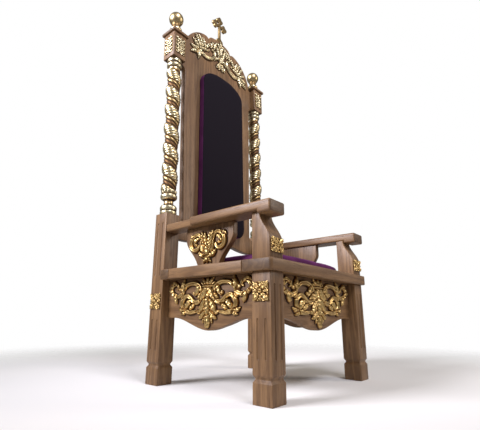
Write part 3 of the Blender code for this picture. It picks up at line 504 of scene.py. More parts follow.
gilded = leaf_gilding("burnished_leaf_gilding", GOLD_HIGH, GOLD, GOLD_LOW)


def points_of(piece):
    """The points of a piece, as rows of x, y and z."""
    flat = np.empty(len(piece.data.vertices) * 3, np.float32)
    piece.data.vertices.foreach_get("co", flat)
    return flat.reshape(-1, 3)


def set_points(piece, points):
    """Moves the points of a piece."""
    piece.data.vertices.foreach_set("co", points.astype(np.float32).ravel())


def mark_shade_and_ground(piece, hollow):
    """Keeps a value from 0 to 1 at each point, mostly how deep it lies, which the gilding turns into painted shade.
    """
    attribute = piece.data.attributes.new("hollow", "FLOAT", "POINT")
    attribute.data.foreach_set("value", np.clip(hollow, 0, 1).astype(np.float32).ravel())


def close_skin():
    """Joins the seam of the piece in hand, fills its open ends and turns its faces outward."""
    bpy.ops.object.mode_set(mode="EDIT")
    bpy.ops.mesh.select_all(action="SELECT")
    bpy.ops.mesh.remove_doubles(threshold=0.00001)
    bpy.ops.mesh.select_all(action="DESELECT")
    bpy.ops.mesh.select_non_manifold()
    bpy.ops.mesh.edge_face_add()
    bpy.ops.mesh.select_all(action="SELECT")
    bpy.ops.mesh.normals_make_consistent(inside=False)
    bpy.ops.object.mode_set(mode="OBJECT")


COLUMN_FOOT = 0.0003
COLUMN_TOP = 0.8787
SHAFT_FOOT = 0.119
SHAFT_TOP = 0.825
SHAFT_RADIUS = 0.0385
SHAFT_TURNS = 6.3
GROUND_SHARE = 0.74
BAND_HALF = 1.95
# The band and the strands: angle from the band's middle, half width in radians, radius share
STRANDS = [(0.0, BAND_HALF, 1.04), (2.54, 0.60, 0.90), (3.73, 0.58, 0.84), (-2.55, 0.58, 0.84),
           (-3.74, 0.60, 0.90)]
LEAF_LENGTH = 0.017
LEAF_SLANT = 1.9
LEAF_SWEEP = 0.55
LEAF_RELIEF = 0.06
BASE_TOP = 0.104
CUP_RADIUS = 0.0355
CUP_SCALLOP = 0.004
CAPITAL_FOOT = 0.829
NECK_RADIUS = 0.0315
GRID_AROUND = 96
GRID_RINGS = 560
# Heights above the post and radii of the turned base, then of the capital
BASE_PROFILE = [(0.0, 0.0395), (0.007, 0.0405), (0.014, 0.04), (0.0175, 0.0365), (0.021, 0.0395),
    (0.029, 0.0405), (0.037, 0.04), (0.041, 0.0375), (0.045, 0.034), (0.049, 0.026), (0.053, 0.0235),
    (0.06, 0.0225), (0.068, 0.0225), (0.072, 0.0245), (0.076, 0.031), (0.081, 0.0385), (0.088, 0.0405),
    (0.096, 0.04), (0.101, 0.037), (0.104, 0.035)]
CAPITAL_PROFILE = [(0.829, 0.031), (0.832, 0.035), (0.838, 0.039), (0.846, 0.04), (0.852, 0.0375),
    (0.856, 0.0335), (0.86, 0.0345), (0.864, 0.038), (0.872, 0.039), (0.8787, 0.0385)]


def smooth_profile(heights, profile):
    """Radii at some heights, read smoothly from a turned profile."""
    known, radii = np.array(profile).T
    return np.interp(heights, known, radii)


def ramp(values, start, length):
    """0 up to a start, and 1 from one length past it."""
    return np.clip((values - start) / length, 0, 1)


def wound_shaft(name, hand):
    """Base, wound shaft and capital as one skin round the local Z axis."""
    piece = begin(name, bpy.ops.mesh.primitive_grid_add, x_subdivisions=GRID_AROUND,
                  y_subdivisions=GRID_RINGS, size=1.0)
    flat = points_of(piece)
    angle = (flat[:, 0] + 0.5) * 2 * pi
    height = COLUMN_FOOT + (flat[:, 1] + 0.5) * (COLUMN_TOP - COLUMN_FOOT)
    share = (height - SHAFT_FOOT) / (SHAFT_TOP - SHAFT_FOOT)
    phase = (angle - 2 * pi * SHAFT_TURNS * share + pi) % (2 * pi) - pi
    radius = np.full(len(flat), GROUND_SHARE)
    for centre, half, crown in STRANDS:
        round_off = np.clip(1 - ((phase - centre) / half) ** 2, 0, 1)
        radius = np.maximum(radius, GROUND_SHARE + (crown - GROUND_SHARE) * np.sqrt(round_off))
    run = height / LEAF_LENGTH + angle * LEAF_SLANT / pi
    ribs = 0.5 + 0.5 * np.cos(2 * pi * (run - LEAF_SWEEP * np.abs(np.clip(phase / BAND_HALF, -1, 1))))
    on_band = np.clip(1 - np.abs(phase / (BAND_HALF * 0.94)) ** 6, 0, 1)
    shaft = SHAFT_RADIUS * (radius + on_band * LEAF_RELIEF * (ribs - 0.5))
    cup = CUP_RADIUS + CUP_SCALLOP * np.abs(np.sin(5 * angle)) * ramp(height, BASE_TOP, 0.012)
    low_blend = ease(ramp(height, BASE_TOP + 0.012, 0.012))
    high_blend = 1 - ramp(height, SHAFT_TOP - 0.018, 0.014)
    near_foot = np.where(height < BASE_TOP, smooth_profile(height, BASE_PROFILE), cup)
    near_top = np.where(height > CAPITAL_FOOT, smooth_profile(height, CAPITAL_PROFILE), NECK_RADIUS)
    wall = np.where(height > (SHAFT_FOOT + SHAFT_TOP) / 2, near_top * (1 - high_blend) + shaft * high_blend,
                    near_foot * (1 - low_blend) + shaft * low_blend)
    set_points(piece, np.stack([hand * wall * np.cos(angle), wall * np.sin(angle), height], 1))
    between = low_blend * high_blend
    ends = BASE_PROFILE + [(BASE_TOP + 0.006, CUP_RADIUS), (0.820, 0.0310)] + CAPITAL_PROFILE
    mean = (smooth_profile(height - 0.005, ends) + smooth_profile(height + 0.005, ends)) / 2
    # Painted shade: darker between the strands, between the leaf ribs, and in the grooves of base and capital.
    hollow = (1 - ramp(shaft, 0.75 * SHAFT_RADIUS, 0.20 * SHAFT_RADIUS)) * between
    hollow += ramp(mean, smooth_profile(height, ends), 0.0022) * (1 - between)
    hollow += 0.45 * np.clip(0.42 - ribs, 0, 1) * on_band * between
    mark_shade_and_ground(piece, hollow)
    close_skin()
    return piece


for end, side in ENDS:
    column = wound_shaft(f"wound_column_{end}", side)
    place = back_frame @ Matrix.Translation((side * POST_X, 0, 0))
    finish_piece(column, gilded, f"column_{end}", place, 60)


# Finials. A burnished ball on a ringed neck, turned in one piece and gilded.
FINIAL_FOOT = 1.0533
BALL_RADIUS = 0.0405
BALL_CENTRE = 0.108
NECK_PROFILE = [(0.0, 0.034), (0.005, 0.0345), (0.014, 0.034), (0.019, 0.03), (0.023, 0.0295),
    (0.028, 0.0325), (0.034, 0.0335), (0.04, 0.031), (0.045, 0.0262), (0.052, 0.0235), (0.06, 0.0225),
    (0.066, 0.023), (0.07, 0.025), (0.0735, 0.0235)]
NECK_TOP = 0.075
FINIAL_SIDES = 56
BALL_HOLLOW = 0.12


def turned(name, profile, sides):
    """A shape spun round the local Z axis from (height, radius) points."""
    piece = begin(name, bpy.ops.mesh.primitive_plane_add, size=1.0)
    bpy.ops.object.mode_set(mode="EDIT")
    bpy.ops.mesh.delete(type="VERT")
    edit = bmesh.from_edit_mesh(piece.data)
    rim = [edit.verts.new((radius, 0, height)) for height, radius in profile]
    for a, b in zip(rim, rim[1:]):
        edit.edges.new((a, b))
    bmesh.update_edit_mesh(piece.data)
    bpy.ops.mesh.select_all(action="SELECT")
    bpy.ops.mesh.spin(steps=sides, angle=2 * pi, center=(0, 0, 0), axis=(0, 0, 1))
    bpy.ops.object.mode_set(mode="OBJECT")
    close_skin()
    return piece


ball = NECK_PROFILE + [(BALL_CENTRE + BALL_RADIUS * sin(angle), max(0.0, BALL_RADIUS * cos(angle)))
                       for angle in sweep(-52, 90, 20)]
for end, side in ENDS:
    finial = turned(f"gilded_ball_{end}", ball, FINIAL_SIDES)
    heights = points_of(finial)[:, 2].astype(float)
    rings = smooth_profile(heights, NECK_PROFILE)
    # Painted shade in the turned grooves of the neck; the ball keeps one even tone.
    mark_shade_and_ground(finial, np.where(heights < NECK_TOP, (0.0345 - rings) / 0.026, BALL_HOLLOW))
    place = back_frame @ Matrix.Translation((side * POST_X, 0, FINIAL_FOOT))
    finish_piece(finial, gilded, f"finial_{end}", place, 40)


# Cross. Sawn from a thick board with clover ends, rounded over and gilded, on a small leaf.
CROSS_TOP = 0.197
CROSS_ARM_HALF = 0.037
CROSS_ARM_PLACE = 0.128
CROSS_BAR = 0.0078
CROSS_THICK = 0.013
LEAF_HALF = 0.028
LEAF_HEIGHT = 0.034
BUD = 0.0138
CROSS_EDGE = 0.0035
CROSS_HOLLOW = 0.30
# The edge of the leaf at its foot, out and up
CROSS_LEAF = [(LEAF_HALF, 0.0), (LEAF_HALF, 0.008), (LEAF_HALF * 0.86, 0.017), (LEAF_HALF * 0.55, 0.023),
              (0.0095, 0.028)]


def clover(centre, heading):
    """Three buds round the end of an arm that runs to a heading in degrees."""
    points = []
    for turn, start, end in ((-90, -215, 3), (0, -87, 87), (90, -3, 215)):
        around = radians(turn + heading)
        middle = (centre[0] + BUD * 1.05 * cos(around), centre[1] + BUD * 1.05 * sin(around))
        for angle in sweep(heading + start, heading + end, 12):
            points.append((middle[0] + BUD * cos(angle), middle[1] + BUD * sin(angle)))
    return points


def cross_outline():
    """Up the right side from the leaf, round three clovers, and down the left side."""
    right = CROSS_LEAF + [(CROSS_BAR, LEAF_HEIGHT + 0.004), (CROSS_BAR, CROSS_ARM_PLACE - CROSS_BAR)]
    right += clover((CROSS_ARM_HALF, CROSS_ARM_PLACE), 0) + [(CROSS_BAR, CROSS_ARM_PLACE + CROSS_BAR)]
    left = [(-x, z) for x, z in reversed(right)]
    return right + clover((0.0, CROSS_TOP - 2.05 * BUD), 90) + left


crown = sawn_board("gilded_cross", cross_outline(), CROSS_THICK, CROSS_EDGE, 3)
mark_shade_and_ground(crown, np.full(len(crown.data.vertices), CROSS_HOLLOW))
place = back_frame @ Matrix.Translation((0, PANEL_FACE - 0.0006, HUMP_TOP - POST_TOP - 0.0008))
finish_piece(crown, gilded, "cross", place, 50)


# Carvings on the aprons. Lime wood scrolls and acanthus leaves, cut as one openwork piece, glued to
# the board and gilded. A crowned middle leaf stands between two large scrolls and two small ones.
# Each leaf is (rise in mm, lobes, points of (across, up, half width) in mm from the board's middle).
GROUND_IN = 0.0012
LEAF_PITCH = 0.0165
LOBE_DEPTH = 0.34
VEIN_DEPTH = 0.22
VEIN_SLANT = 0.42
# Depth and width of a leaf's sunk midrib and of a strap's flute, as shares of its rise and half width
MIDRIB = (0.18, 0.20)
STRAP_FLUTE = (0.34, 0.34)
OVERLAP_SINK = 0.55
MOAT_SHARE = 0.32
# Relief lower than this is sawn away, and the painted shade of hollows is judged against the relief this far round
LEAST_RELIEF = 0.0004
HOLLOW_REACH = 0.0035


def trace(points, steps=8):
    """A smooth line through rows of numbers."""
    rows = np.array(points, float)
    rows = np.vstack([2 * rows[0] - rows[1], rows, 2 * rows[-1] - rows[-2]])
    t = np.linspace(0, 1, steps, endpoint=False)[:, None]
    line = []
    for a, b, c, d in zip(rows, rows[1:], rows[2:], rows[3:]):
        bend = (2 * a - 5 * b + 4 * c - d) * t ** 2 + (3 * b - a - 3 * c + d) * t ** 3
        line.append(0.5 * (2 * b + (c - a) * t + bend))
    line.append(rows[-2][None])
    return np.vstack(line)


def raise_leaf(height, across, up, rise, lobes, points):
    """Raises one leaf or strap from the ground, over what is there already."""
    line = trace(points)
    reach = line[:, 2].max() * 1.4 + 0.002
    near = ((across > line[:, 0].min() - reach) & (across < line[:, 0].max() + reach)
            & (up > line[:, 1].min() - reach) & (up < line[:, 1].max() + reach))
    x, z = across[near], up[near]
    best = np.full(x.shape, 9.0)
    run, wide, side = np.zeros((3, len(x)))
    travelled = 0.0
    for start, end in zip(line, line[1:]):
        step_x, step_z = end[0] - start[0], end[1] - start[1]
        length = sqrt(step_x ** 2 + step_z ** 2)
        if length < 1e-7:
            continue
        t = np.clip(((x - start[0]) * step_x + (z - start[1]) * step_z) / length ** 2, 0, 1)
        off_x = x - start[0] - t * step_x
        off_z = z - start[1] - t * step_z
        here = travelled + t * length
        half = np.maximum(start[2] + (end[2] - start[2]) * t, 0.0008)
        if lobes:
            half = half * (1.06 - LOBE_DEPTH * (1 - np.abs(np.sin(pi * here / LEAF_PITCH))))
        share = np.hypot(off_x, off_z) / half
        closer = share < best
        best = np.where(closer, share, best)
        run = np.where(closer, here, run)
        wide = np.where(closer, half, wide)
        side = np.where(closer, np.sign(off_x * step_z - off_z * step_x), side)
        travelled += length
    crown = np.sqrt(np.clip(1 - best ** 2.2, 0, 1))
    if lobes:
        veins = 0.5 + 0.5 * np.cos(2 * pi * (run / LEAF_PITCH - VEIN_SLANT * best))
        crown = crown * (1 - VEIN_DEPTH * veins * np.clip(best * 1.6, 0, 1))
        crown = crown * (1 - MIDRIB[0] * np.exp(-(best / MIDRIB[1]) ** 2))
    else:
        crown = crown * (1 - STRAP_FLUTE[0] * np.exp(-((side * best + 0.08) / STRAP_FLUTE[1]) ** 2))
    thin = np.clip(wide / 0.0085, 0.2, 1.15) ** 0.6
    old = height[near]
    moat = old * (0.50 + 0.50 * ramp(best, 1.0, MOAT_SHARE))
    height[near] = np.where(best < 1, np.maximum(rise * thin * crown, old * OVERLAP_SINK), moat)


def blur(values, cells):
    """A box blur over a square of cells, twice."""
    kernel = np.ones(2 * cells + 1) / (2 * cells + 1)
    for _ in range(2):
        values = np.apply_along_axis(lambda row: np.convolve(row, kernel, "same"), 0, values)
        values = np.apply_along_axis(lambda row: np.convolve(row, kernel, "same"), 1, values)
    return values


def carve(name, half, low, high, cell, leaves, stretch=1.0, plate=0.0):
    """An openwork carving whose back lies on y = 0; mirrored, with leaves raised one over the other."""
    columns, rows = int(2 * half / cell), int((high - low) / cell)
    piece = begin(name, bpy.ops.mesh.primitive_grid_add, x_subdivisions=columns, y_subdivisions=rows, size=1.0)
    flat = points_of(piece)
    across = (flat[:, 0] * 2 * half).astype(float)
    up = low + (flat[:, 1] + 0.5) * (high - low)
    height = np.full(len(flat), plate)
    for rise, lobes, points in leaves:
        line = [(x / 1000 * stretch, z / 1000, w / 1000 * (1 + (stretch - 1) * 0.5)) for x, z, w in points]
        mirrored = any(abs(x) > 1e-6 for x, z, w in line)
        for side in (1, -1) if mirrored else (1,):
            raise_leaf(height, across, up, rise / 1000, lobes, [(side * x, z, w) for x, z, w in line])
    table = height.reshape(rows + 1, columns + 1)
    padded = np.pad(table, 1, mode="edge")
    soft = sum(padded[i:i + rows + 1, j:j + columns + 1] * k
               for i, j, k in ((1, 1, 0.36), (0, 1, 0.11), (2, 1, 0.11), (1, 0, 0.11), (1, 2, 0.11),
                               (0, 0, 0.05), (0, 2, 0.05), (2, 0, 0.05), (2, 2, 0.05)))
    soft = np.where(soft < LEAST_RELIEF, 0.0, soft)
    top = max(soft.max(), 1e-6)
    around = blur(soft, max(2, int(HOLLOW_REACH / cell)))
    height = soft.ravel()
    set_points(piece, np.stack([across, -height, up], 1))
    # Painted shade: darker where the relief lies below its surroundings and close to the ground.
    mark_shade_and_ground(piece, 2.8 * (around - soft) / top + 1.5 * np.clip(0.55 - soft / top, 0, 1))
    polygons = piece.data.polygons
    corners = np.empty(len(polygons) * 4, np.int32)
    polygons.foreach_get("vertices", corners)
    bare = (height[corners.reshape(-1, 4)].max(1) <= 0.0)
    bpy.ops.object.mode_set(mode="EDIT")
    bpy.ops.mesh.select_mode(type="FACE")
    bpy.ops.mesh.select_all(action="DESELECT")
    bpy.ops.object.mode_set(mode="OBJECT")
    polygons.foreach_set("select", bare)
    bpy.ops.object.mode_set(mode="EDIT")
    bpy.ops.mesh.delete(type="FACE")
    bpy.ops.mesh.select_mode(type="EDGE")
    bpy.ops.mesh.select_all(action="DESELECT")
    bpy.ops.mesh.select_non_manifold()
    bpy.ops.mesh.extrude_region_move(TRANSFORM_OT_translate={"value": (0, GROUND_IN, 0)})
    bpy.ops.mesh.fill(use_beauty=False)
    bpy.ops.mesh.select_mode(type="VERT")
    bpy.ops.object.mode_set(mode="OBJECT")
    return piece


APRON_LEAVES = [
    (14, False, [(150, 376, 8), (140, 394, 9), (122, 408, 10), (100, 413, 10), (76, 413, 11), (53, 403, 11),
        (38, 386, 10.5), (33, 364, 10.5), (43, 345, 11.5), (62, 336, 12), (82, 340, 11.5), (98, 353, 11),
        (114, 362, 10.5), (132, 360, 11), (147, 347, 11.5), (151, 328, 11.5), (141, 310, 11.5),
        (120, 299, 11.5), (96, 296, 10.5), (74, 298, 8), (58, 303, 5)]),
    (14, True, [(51, 400, 7), (58, 389, 12), (63, 377, 11), (70, 368, 8), (78, 366, 5)]),
    (15, False, [(76, 373, 3), (79, 372, 8), (82, 371, 3)]),
    (15, True, [(156, 358, 11), (154, 380, 16), (149, 402, 14), (145, 420, 9), (141, 436, 3)]),
    (12, True, [(158, 386, 8), (170, 394, 9), (179, 404, 4)]),
    (14, False, [(158, 370, 10), (176, 363, 10.5), (196, 365, 11), (215, 376, 10.5), (224, 392, 10),
        (216, 407, 9.5), (200, 414, 9), (184, 410, 8), (179, 400, 6.5), (186, 393, 4.5)]),
    (13, True, [(188, 410, 7), (203, 421, 9), (218, 418, 7), (229, 408, 3)]),
    (14, True, [(197, 366, 9), (195, 352, 13), (190, 341, 9), (186, 331, 3)]),
    (13, True, [(217, 384, 8), (231, 384, 9), (244, 390, 3)]),
    (15, True, [(128, 314, 8), (120, 326, 13), (110, 336, 12), (101, 344, 4)]),
    (13, True, [(106, 310, 7), (93, 317, 11), (81, 325, 8), (72, 331, 3)]),
    (14, True, [(136, 300, 9), (150, 302, 11), (163, 308, 8), (172, 314, 3)]),
    (12, True, [(132, 295, 7), (146, 291, 9), (159, 289, 3)]),
    (14, True, [(14, 372, 9), (33, 367, 12), (49, 358, 9), (60, 350, 3)]),
    (14, True, [(10, 316, 9), (32, 303, 13), (50, 297, 10), (64, 301, 3)]),
    (15, True, [(10, 348, 9), (23, 331, 14), (36, 312, 13), (45, 298, 5)]),
    (14, True, [(8, 300, 9), (22, 287, 13), (37, 278, 10), (49, 272, 3)]),
    (13, True, [(6, 280, 8), (18, 268, 10), (25, 256, 4)]),
    (14, False, [(0, 394, 14), (0, 372, 13), (0, 350, 10)]),
    (16, True, [(5, 396, 8), (13, 384, 13), (22, 368, 14), (33, 352, 9), (42, 342, 4)]),
    (13, True, [(14, 404, 6), (28, 410, 8), (40, 415, 3)]),
    (14, True, [(6, 404, 6), (18, 417, 9), (31, 432, 4)]),
    (14, True, [(0, 402, 7), (0, 419, 10), (0, 435, 4)]),
    (16, False, [(-31, 399, 4.5), (0, 400, 5.5), (31, 399, 4.5)]),
    (16, True, [(0, 288, 10), (0, 268, 18), (0, 252, 16), (0, 239, 6)]),
    (18, True, [(0, 352, 8), (0, 330, 13), (0, 306, 13), (0, 288, 6)]),
]

# A darker, warmer copy of the same gold for the carvings and rosettes low on the chair: painted shade
# for the weaker light down there, and painted reflection of the warm wood round them.
SHADED_GOLD_HIGH = "C6AA72"
SHADED_GOLD = "946E3A"
SHADED_GOLD_LOW = "523318"
shaded_low_gilding = leaf_gilding("leaf_gilding_shaded_low_down", SHADED_GOLD_HIGH, SHADED_GOLD, SHADED_GOLD_LOW)
SCROLLS_CELL = 0.00125
SCROLLS_FOOT = 0.228
SCROLLS_TOP = 0.440

# The front carving is the same design, stretched to the wider board
for end, side, half, stretch in (("front", 0, 0.300, 1.18), ("left", -1, 0.252, 1.0), ("right", 1, 0.252, 1.0)):
    scrolls = carve(f"scrolls_{end}", half, SCROLLS_FOOT, SCROLLS_TOP, SCROLLS_CELL, APRON_LEAVES, stretch)
    finish_piece(scrolls, shaded_low_gilding, f"apron_ornament_{end}", face_of(f"apron_{end}", side), 60)


# Carvings on the side boards. Two volutes rise from one stem, with leaves between them.
SPLAT_LEAVES = [
    (14, False, [(7, 520, 8), (19, 535, 9), (29, 553, 10), (32, 576, 10), (31, 596, 9.5), (41, 613, 10),
        (60, 620, 10.5), (82, 613, 10.5), (96, 597, 10.5), (98, 576, 10.5), (88, 559, 10.5), (70, 552, 10),
        (55, 559, 8.5), (50, 571, 7)]),
    (13, True, [(50, 604, 5), (66, 600, 9), (76, 589, 9), (78, 576, 5)]),
    (15, False, [(64, 578, 3), (67, 577, 8), (70, 576, 3)]),
    (13, True, [(84, 618, 6), (97, 614, 9), (107, 604, 3)]),
    (14, True, [(8, 526, 9), (26, 527, 12), (41, 536, 10), (50, 549, 3)]),
    (15, True, [(4, 540, 10), (12, 570, 15), (22, 600, 13), (30, 619, 8), (35, 632, 3)]),
    (14, True, [(3, 566, 7), (11, 594, 9), (15, 614, 8), (17, 628, 3)]),
    (14, True, [(3, 514, 7), (14, 506, 9), (22, 497, 3)]),
    (16, True, [(0, 566, 8), (0, 544, 13), (0, 520, 14), (0, 507, 10), (0, 497, 4)]),
    (16, False, [(-17, 522, 3.5), (0, 523, 5), (17, 522, 3.5)]),
]
VOLUTES_HALF = 0.112
VOLUTES_FOOT = 0.490
VOLUTES_TOP = 0.636
VOLUTES_CELL = 0.00115

for end, side in ENDS:
    volutes = carve(f"volutes_{end}", VOLUTES_HALF, VOLUTES_FOOT, VOLUTES_TOP, VOLUTES_CELL, SPLAT_LEAVES)
    finish_piece(volutes, shaded_low_gilding, f"splat_ornament_{end}", face_of(f"splat_{end}", side), 60)


# Carving on the crest. A fan of feathers over a hanging flower, with scrolls and leaves that fill
# the band between the padded arch and the edge of the crest.
CREST_LEAVES = [
    (14, False, [(174, 808, 8), (151, 795, 12), (124, 790, 13), (98, 797, 12.5), (74, 812, 11.5),
        (57, 834, 10), (53, 856, 9), (62, 871, 8), (77, 871, 6)]),
    (13, True, [(180, 822, 9), (157, 833, 12), (134, 840, 11), (112, 846, 5)]),
    (14, False, [(100, 850, 3), (104, 849, 7), (108, 848, 3)]),
    (14, True, [(192, 792, 9), (216, 780, 13), (236, 770, 9), (249, 760, 3)]),
    (15, True, [(186, 812, 10), (210, 806, 15), (234, 803, 10), (250, 808, 3)]),
    (14, True, [(190, 826, 10), (208, 838, 13), (223, 850, 9), (234, 862, 3)]),
    (14, True, [(176, 840, 10), (190, 864, 13), (204, 886, 10), (213, 901, 3)]),
    (13, True, [(158, 850, 10), (167, 876, 13), (178, 900, 10), (187, 917, 3)]),
    (15, True, [(136, 856, 10), (145, 878, 14), (153, 897, 10), (160, 911, 3)]),
    (14, True, [(122, 864, 10), (112, 883, 13), (100, 896, 9), (89, 904, 3)]),
    (16, True, [(172, 814, 10), (180, 791, 18), (186, 768, 14), (188, 743, 3)]),
    (13, True, [(86, 884, 9), (80, 906, 12), (70, 926, 10), (61, 940, 3)]),
    (13, True, [(58, 892, 9), (51, 918, 12), (40, 940, 10), (29, 957, 4)]),
    (14, True, [(12, 842, 9), (29, 837, 11), (43, 826, 8), (52, 812, 3)]),
    (15, True, [(6, 846, 10), (21, 872, 12), (31, 900, 11), (36, 928, 4)]),
    (14, True, [(8, 914, 8), (17, 936, 9), (20, 960, 4)]),
    (16, True, [(0, 846, 11), (0, 884, 14), (0, 916, 12), (0, 946, 4)]),
    (14, True, [(0, 938, 8), (0, 958, 9), (0, 977, 4)]),
    (15, True, [(14, 802, 9), (26, 787, 12), (35, 771, 4)]),
    (15, True, [(5, 804, 8), (11, 784, 12), (14, 765, 4)]),
    (17, True, [(0, 862, 12), (0, 838, 16), (0, 814, 13), (0, 796, 6)]),
    (16, False, [(-22, 806, 4), (0, 809, 6), (22, 806, 4)]),
]
# Its heights are taken from 1 m above the floor
CREST_HALF = 0.254
CREST_FOOT = 0.738
CREST_TOP = 0.982
CREST_CELL = 0.0013

crest = carve("crest_leaves", CREST_HALF, CREST_FOOT, CREST_TOP, CREST_CELL, CREST_LEAVES)
place = back_frame @ Matrix.Translation((0, PANEL_FACE, 1 - POST_TOP))
finish_piece(crest, gilded, "crest_ornament", place, 60)


# Rosettes and tiles. Small square flowers on the legs, posts and supports, and tall leafy tiles on
# the blocks, each carved from a thin gilded plate.
ROSETTE_CELL = 0.0009
ROSETTE_PLATE = 0.0055
TILE_PLATE = 0.0022
BLOCK_HEIGHT = 0.157
TILE_HALF = (0.033, 0.051)
PETAL = [(4, 4, 4), (13, 13, 9), (23, 23, 10), (31, 31, 5)]
SEPAL = [(7, 5), (20, 8), (31, 5)]


def flower(width, height):
    """A four-petalled flower with small leaves between, that fills a plate of that size in mm."""
    wide, tall = width / 66, height / 66
    grow = (wide + tall) / 2
    leaves = [(10, True, [(x * wide, 0.01, w * grow) for x, w in SEPAL])]
    for up in (1, -1):
        leaves.append((10, True, [(0, up * z * tall, w * grow) for z, w in SEPAL]))
    for up in (1, -1):
        leaves.append((13, True, [(x * wide, up * z * tall, w * grow) for x, z, w in PETAL]))
    leaves.append((14, False, [(-1, 0, 7 * grow), (0, 0, 9 * grow), (1, 0, 7 * grow)]))
    return leaves


def tile_leaves():
    """A tall spray of leaves in pairs on one stem, in mm from the middle."""
    leaves = []
    for up in (-38, -14, 10, 34):
        leaves.append((9, True, [(2, up - 6, 5), (12, up - 1, 8), (22, up + 6, 8), (29, up + 14, 4)]))
        leaves.append((8, True, [(4, up - 10, 4), (16, up - 12, 6), (27, up - 8, 3)]))
    leaves.append((10, True, [(0, -46, 6), (0, -16, 8), (0, 18, 8), (0, 46, 4)]))
    leaves.append((11, False, [(-1, 4, 6), (0, 4, 8), (1, 4, 6)]))
    return leaves


def plate_seat(node, side):
    """The frame of the face that a carved plate is glued to: the front for side 0, else a side."""
    low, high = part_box(node)
    middle = (low + high) / 2
    if side == 0:
        return Matrix.Translation((middle.x, high.y, middle.z))
    inner = low.x if side > 0 else high.x
    return Matrix.Translation((inner, middle.y, middle.z)) @ Matrix.Rotation(side * pi / 2, 4, "Z")


for end, side in ENDS:
    for group, face, wide, tall in (("leg", side, 66, 66), ("post", side, 66, 66), ("support", 0, 72, 53)):
        node = f"rosette_{group}_{end}"
        carved = carve(f"flower_{group}_{end}", wide / 2000, -tall / 2000, tall / 2000, ROSETTE_CELL,
                       flower(wide, tall), 1.0, ROSETTE_PLATE)
        finish_piece(carved, shaded_low_gilding, node, plate_seat(node, face), 60)
    block_frame = back_frame @ Matrix.Translation((side * POST_X, 0, BLOCK_RISE + BLOCK_HEIGHT / 2))
    for face, turn in (("front", 0), ("side", side * pi / 2)):
        carved = carve(f"spray_{face}_{end}", TILE_HALF[0], -TILE_HALF[1], TILE_HALF[1], ROSETTE_CELL,
                       tile_leaves(), 1.0, TILE_PLATE)
        place = block_frame @ Matrix.Rotation(turn, 4, "Z") @ Matrix.Translation((0, -BLOCK_HALF, 0))
        finish_piece(carved, gilded, f"tile_{face}_{end}", place, 60)


# Seat cushion and back pad. Foam covered in pile velvet: the cushion lies loose on the deck, and the
# pad is nailed to the back panel, near-black on the faces toward the front and plum on the others.
VELVET_PLUM = "5A2852"
VELVET_SHEEN = "B068B8"
VELVET_BLACK = "171218"
VELVET_NAP_MM = 70
VELVET_PILE_MM = 1.6
COVER_VOXEL = 0.008
COVER_FRAMES = 20
FILLING_PRESSURE = 4.0


def pile_velvet(name, front_faces_dark):
    """Cut-pile velvet: dark face on, bright where the pile is seen from its side. The option makes faces toward the
    front (-Y) near-black.
    """
    material, add, shader, place = new_finish(name, {
        "Roughness": 0.9, "Specular IOR Level": 0.1, "Sheen Weight": 0.02 if front_faces_dark else 0.08,
        "Sheen Roughness": 0.35, "Sheen Tint": linear(VELVET_SHEEN)})
    nap = add("TexNoise", {"Scale": 1000 / VELVET_NAP_MM, "Detail": 3.0}, {"Vector": place})
    brushed = add("ValToRGB", {"stops": [(0.34, (0.72, 0.72, 0.72, 1)), (0.66, (1.12, 1.12, 1.12, 1))]},
                  {"Fac": nap})
    cloth = add("Mix", {"data_type": "RGBA", "blend_type": "MULTIPLY", 0: 1.0, 6: linear(VELVET_PLUM)},
                {7: brushed})
    # Near-black on faces that point toward the front (-Y), plum on the others, by the direction each face points.
    if front_faces_dark:
        facing = add("NewGeometry")
        split = add("SeparateXYZ", {}, {0: facing.outputs["Normal"]})
        front = add("MapRange", {"From Min": -0.55, "From Max": -0.30, "To Min": 1.0, "To Max": 0.0},
                    {"Value": split.outputs["Y"]})
        cloth = add("Mix", {"data_type": "RGBA", 7: linear(VELVET_BLACK)}, {0: front, 6: cloth.outputs[2]})
    pile = add("TexNoise", {"Scale": 1000 / VELVET_PILE_MM, "Detail": 2.0}, {"Vector": place})
    fuzz = add("Bump", {"Strength": 0.3, "Distance": 0.0006}, {"Height": pile})
    connect(shader, {"Base Color": cloth.outputs[2], "Normal": fuzz})
    return material


def stuff(piece, cap, hold):
    """Fills a closed cover: it swells under pressure, no further than the cap, and keeps to hold."""
    only(piece)
    piece.data.remesh_voxel_size = COVER_VOXEL
    bpy.ops.object.voxel_remesh()
    before = after = points_of(piece)
    cloth = piece.modifiers.new("filling", "CLOTH")
    cloth.settings.quality = 5
    cloth.settings.use_pressure = True
    cloth.settings.uniform_pressure_force = FILLING_PRESSURE
    cloth.settings.effector_weights.gravity = 0.0
    for number in range(1, COVER_FRAMES + 1):
        bpy.context.scene.frame_set(number)
    bpy.ops.object.modifier_apply(modifier="filling")
    bpy.context.scene.frame_set(1)
    after = points_of(piece)
    move = after - before
    length = np.maximum(np.linalg.norm(move, axis=1, keepdims=True), 1e-9)
    set_points(piece, hold(before + move * np.minimum(1.0, cap / length)))
    smooth = piece.modifiers.new("round", "SUBSURF")
    smooth.levels = 1
    smooth.render_levels = 1
    apply_all(piece)


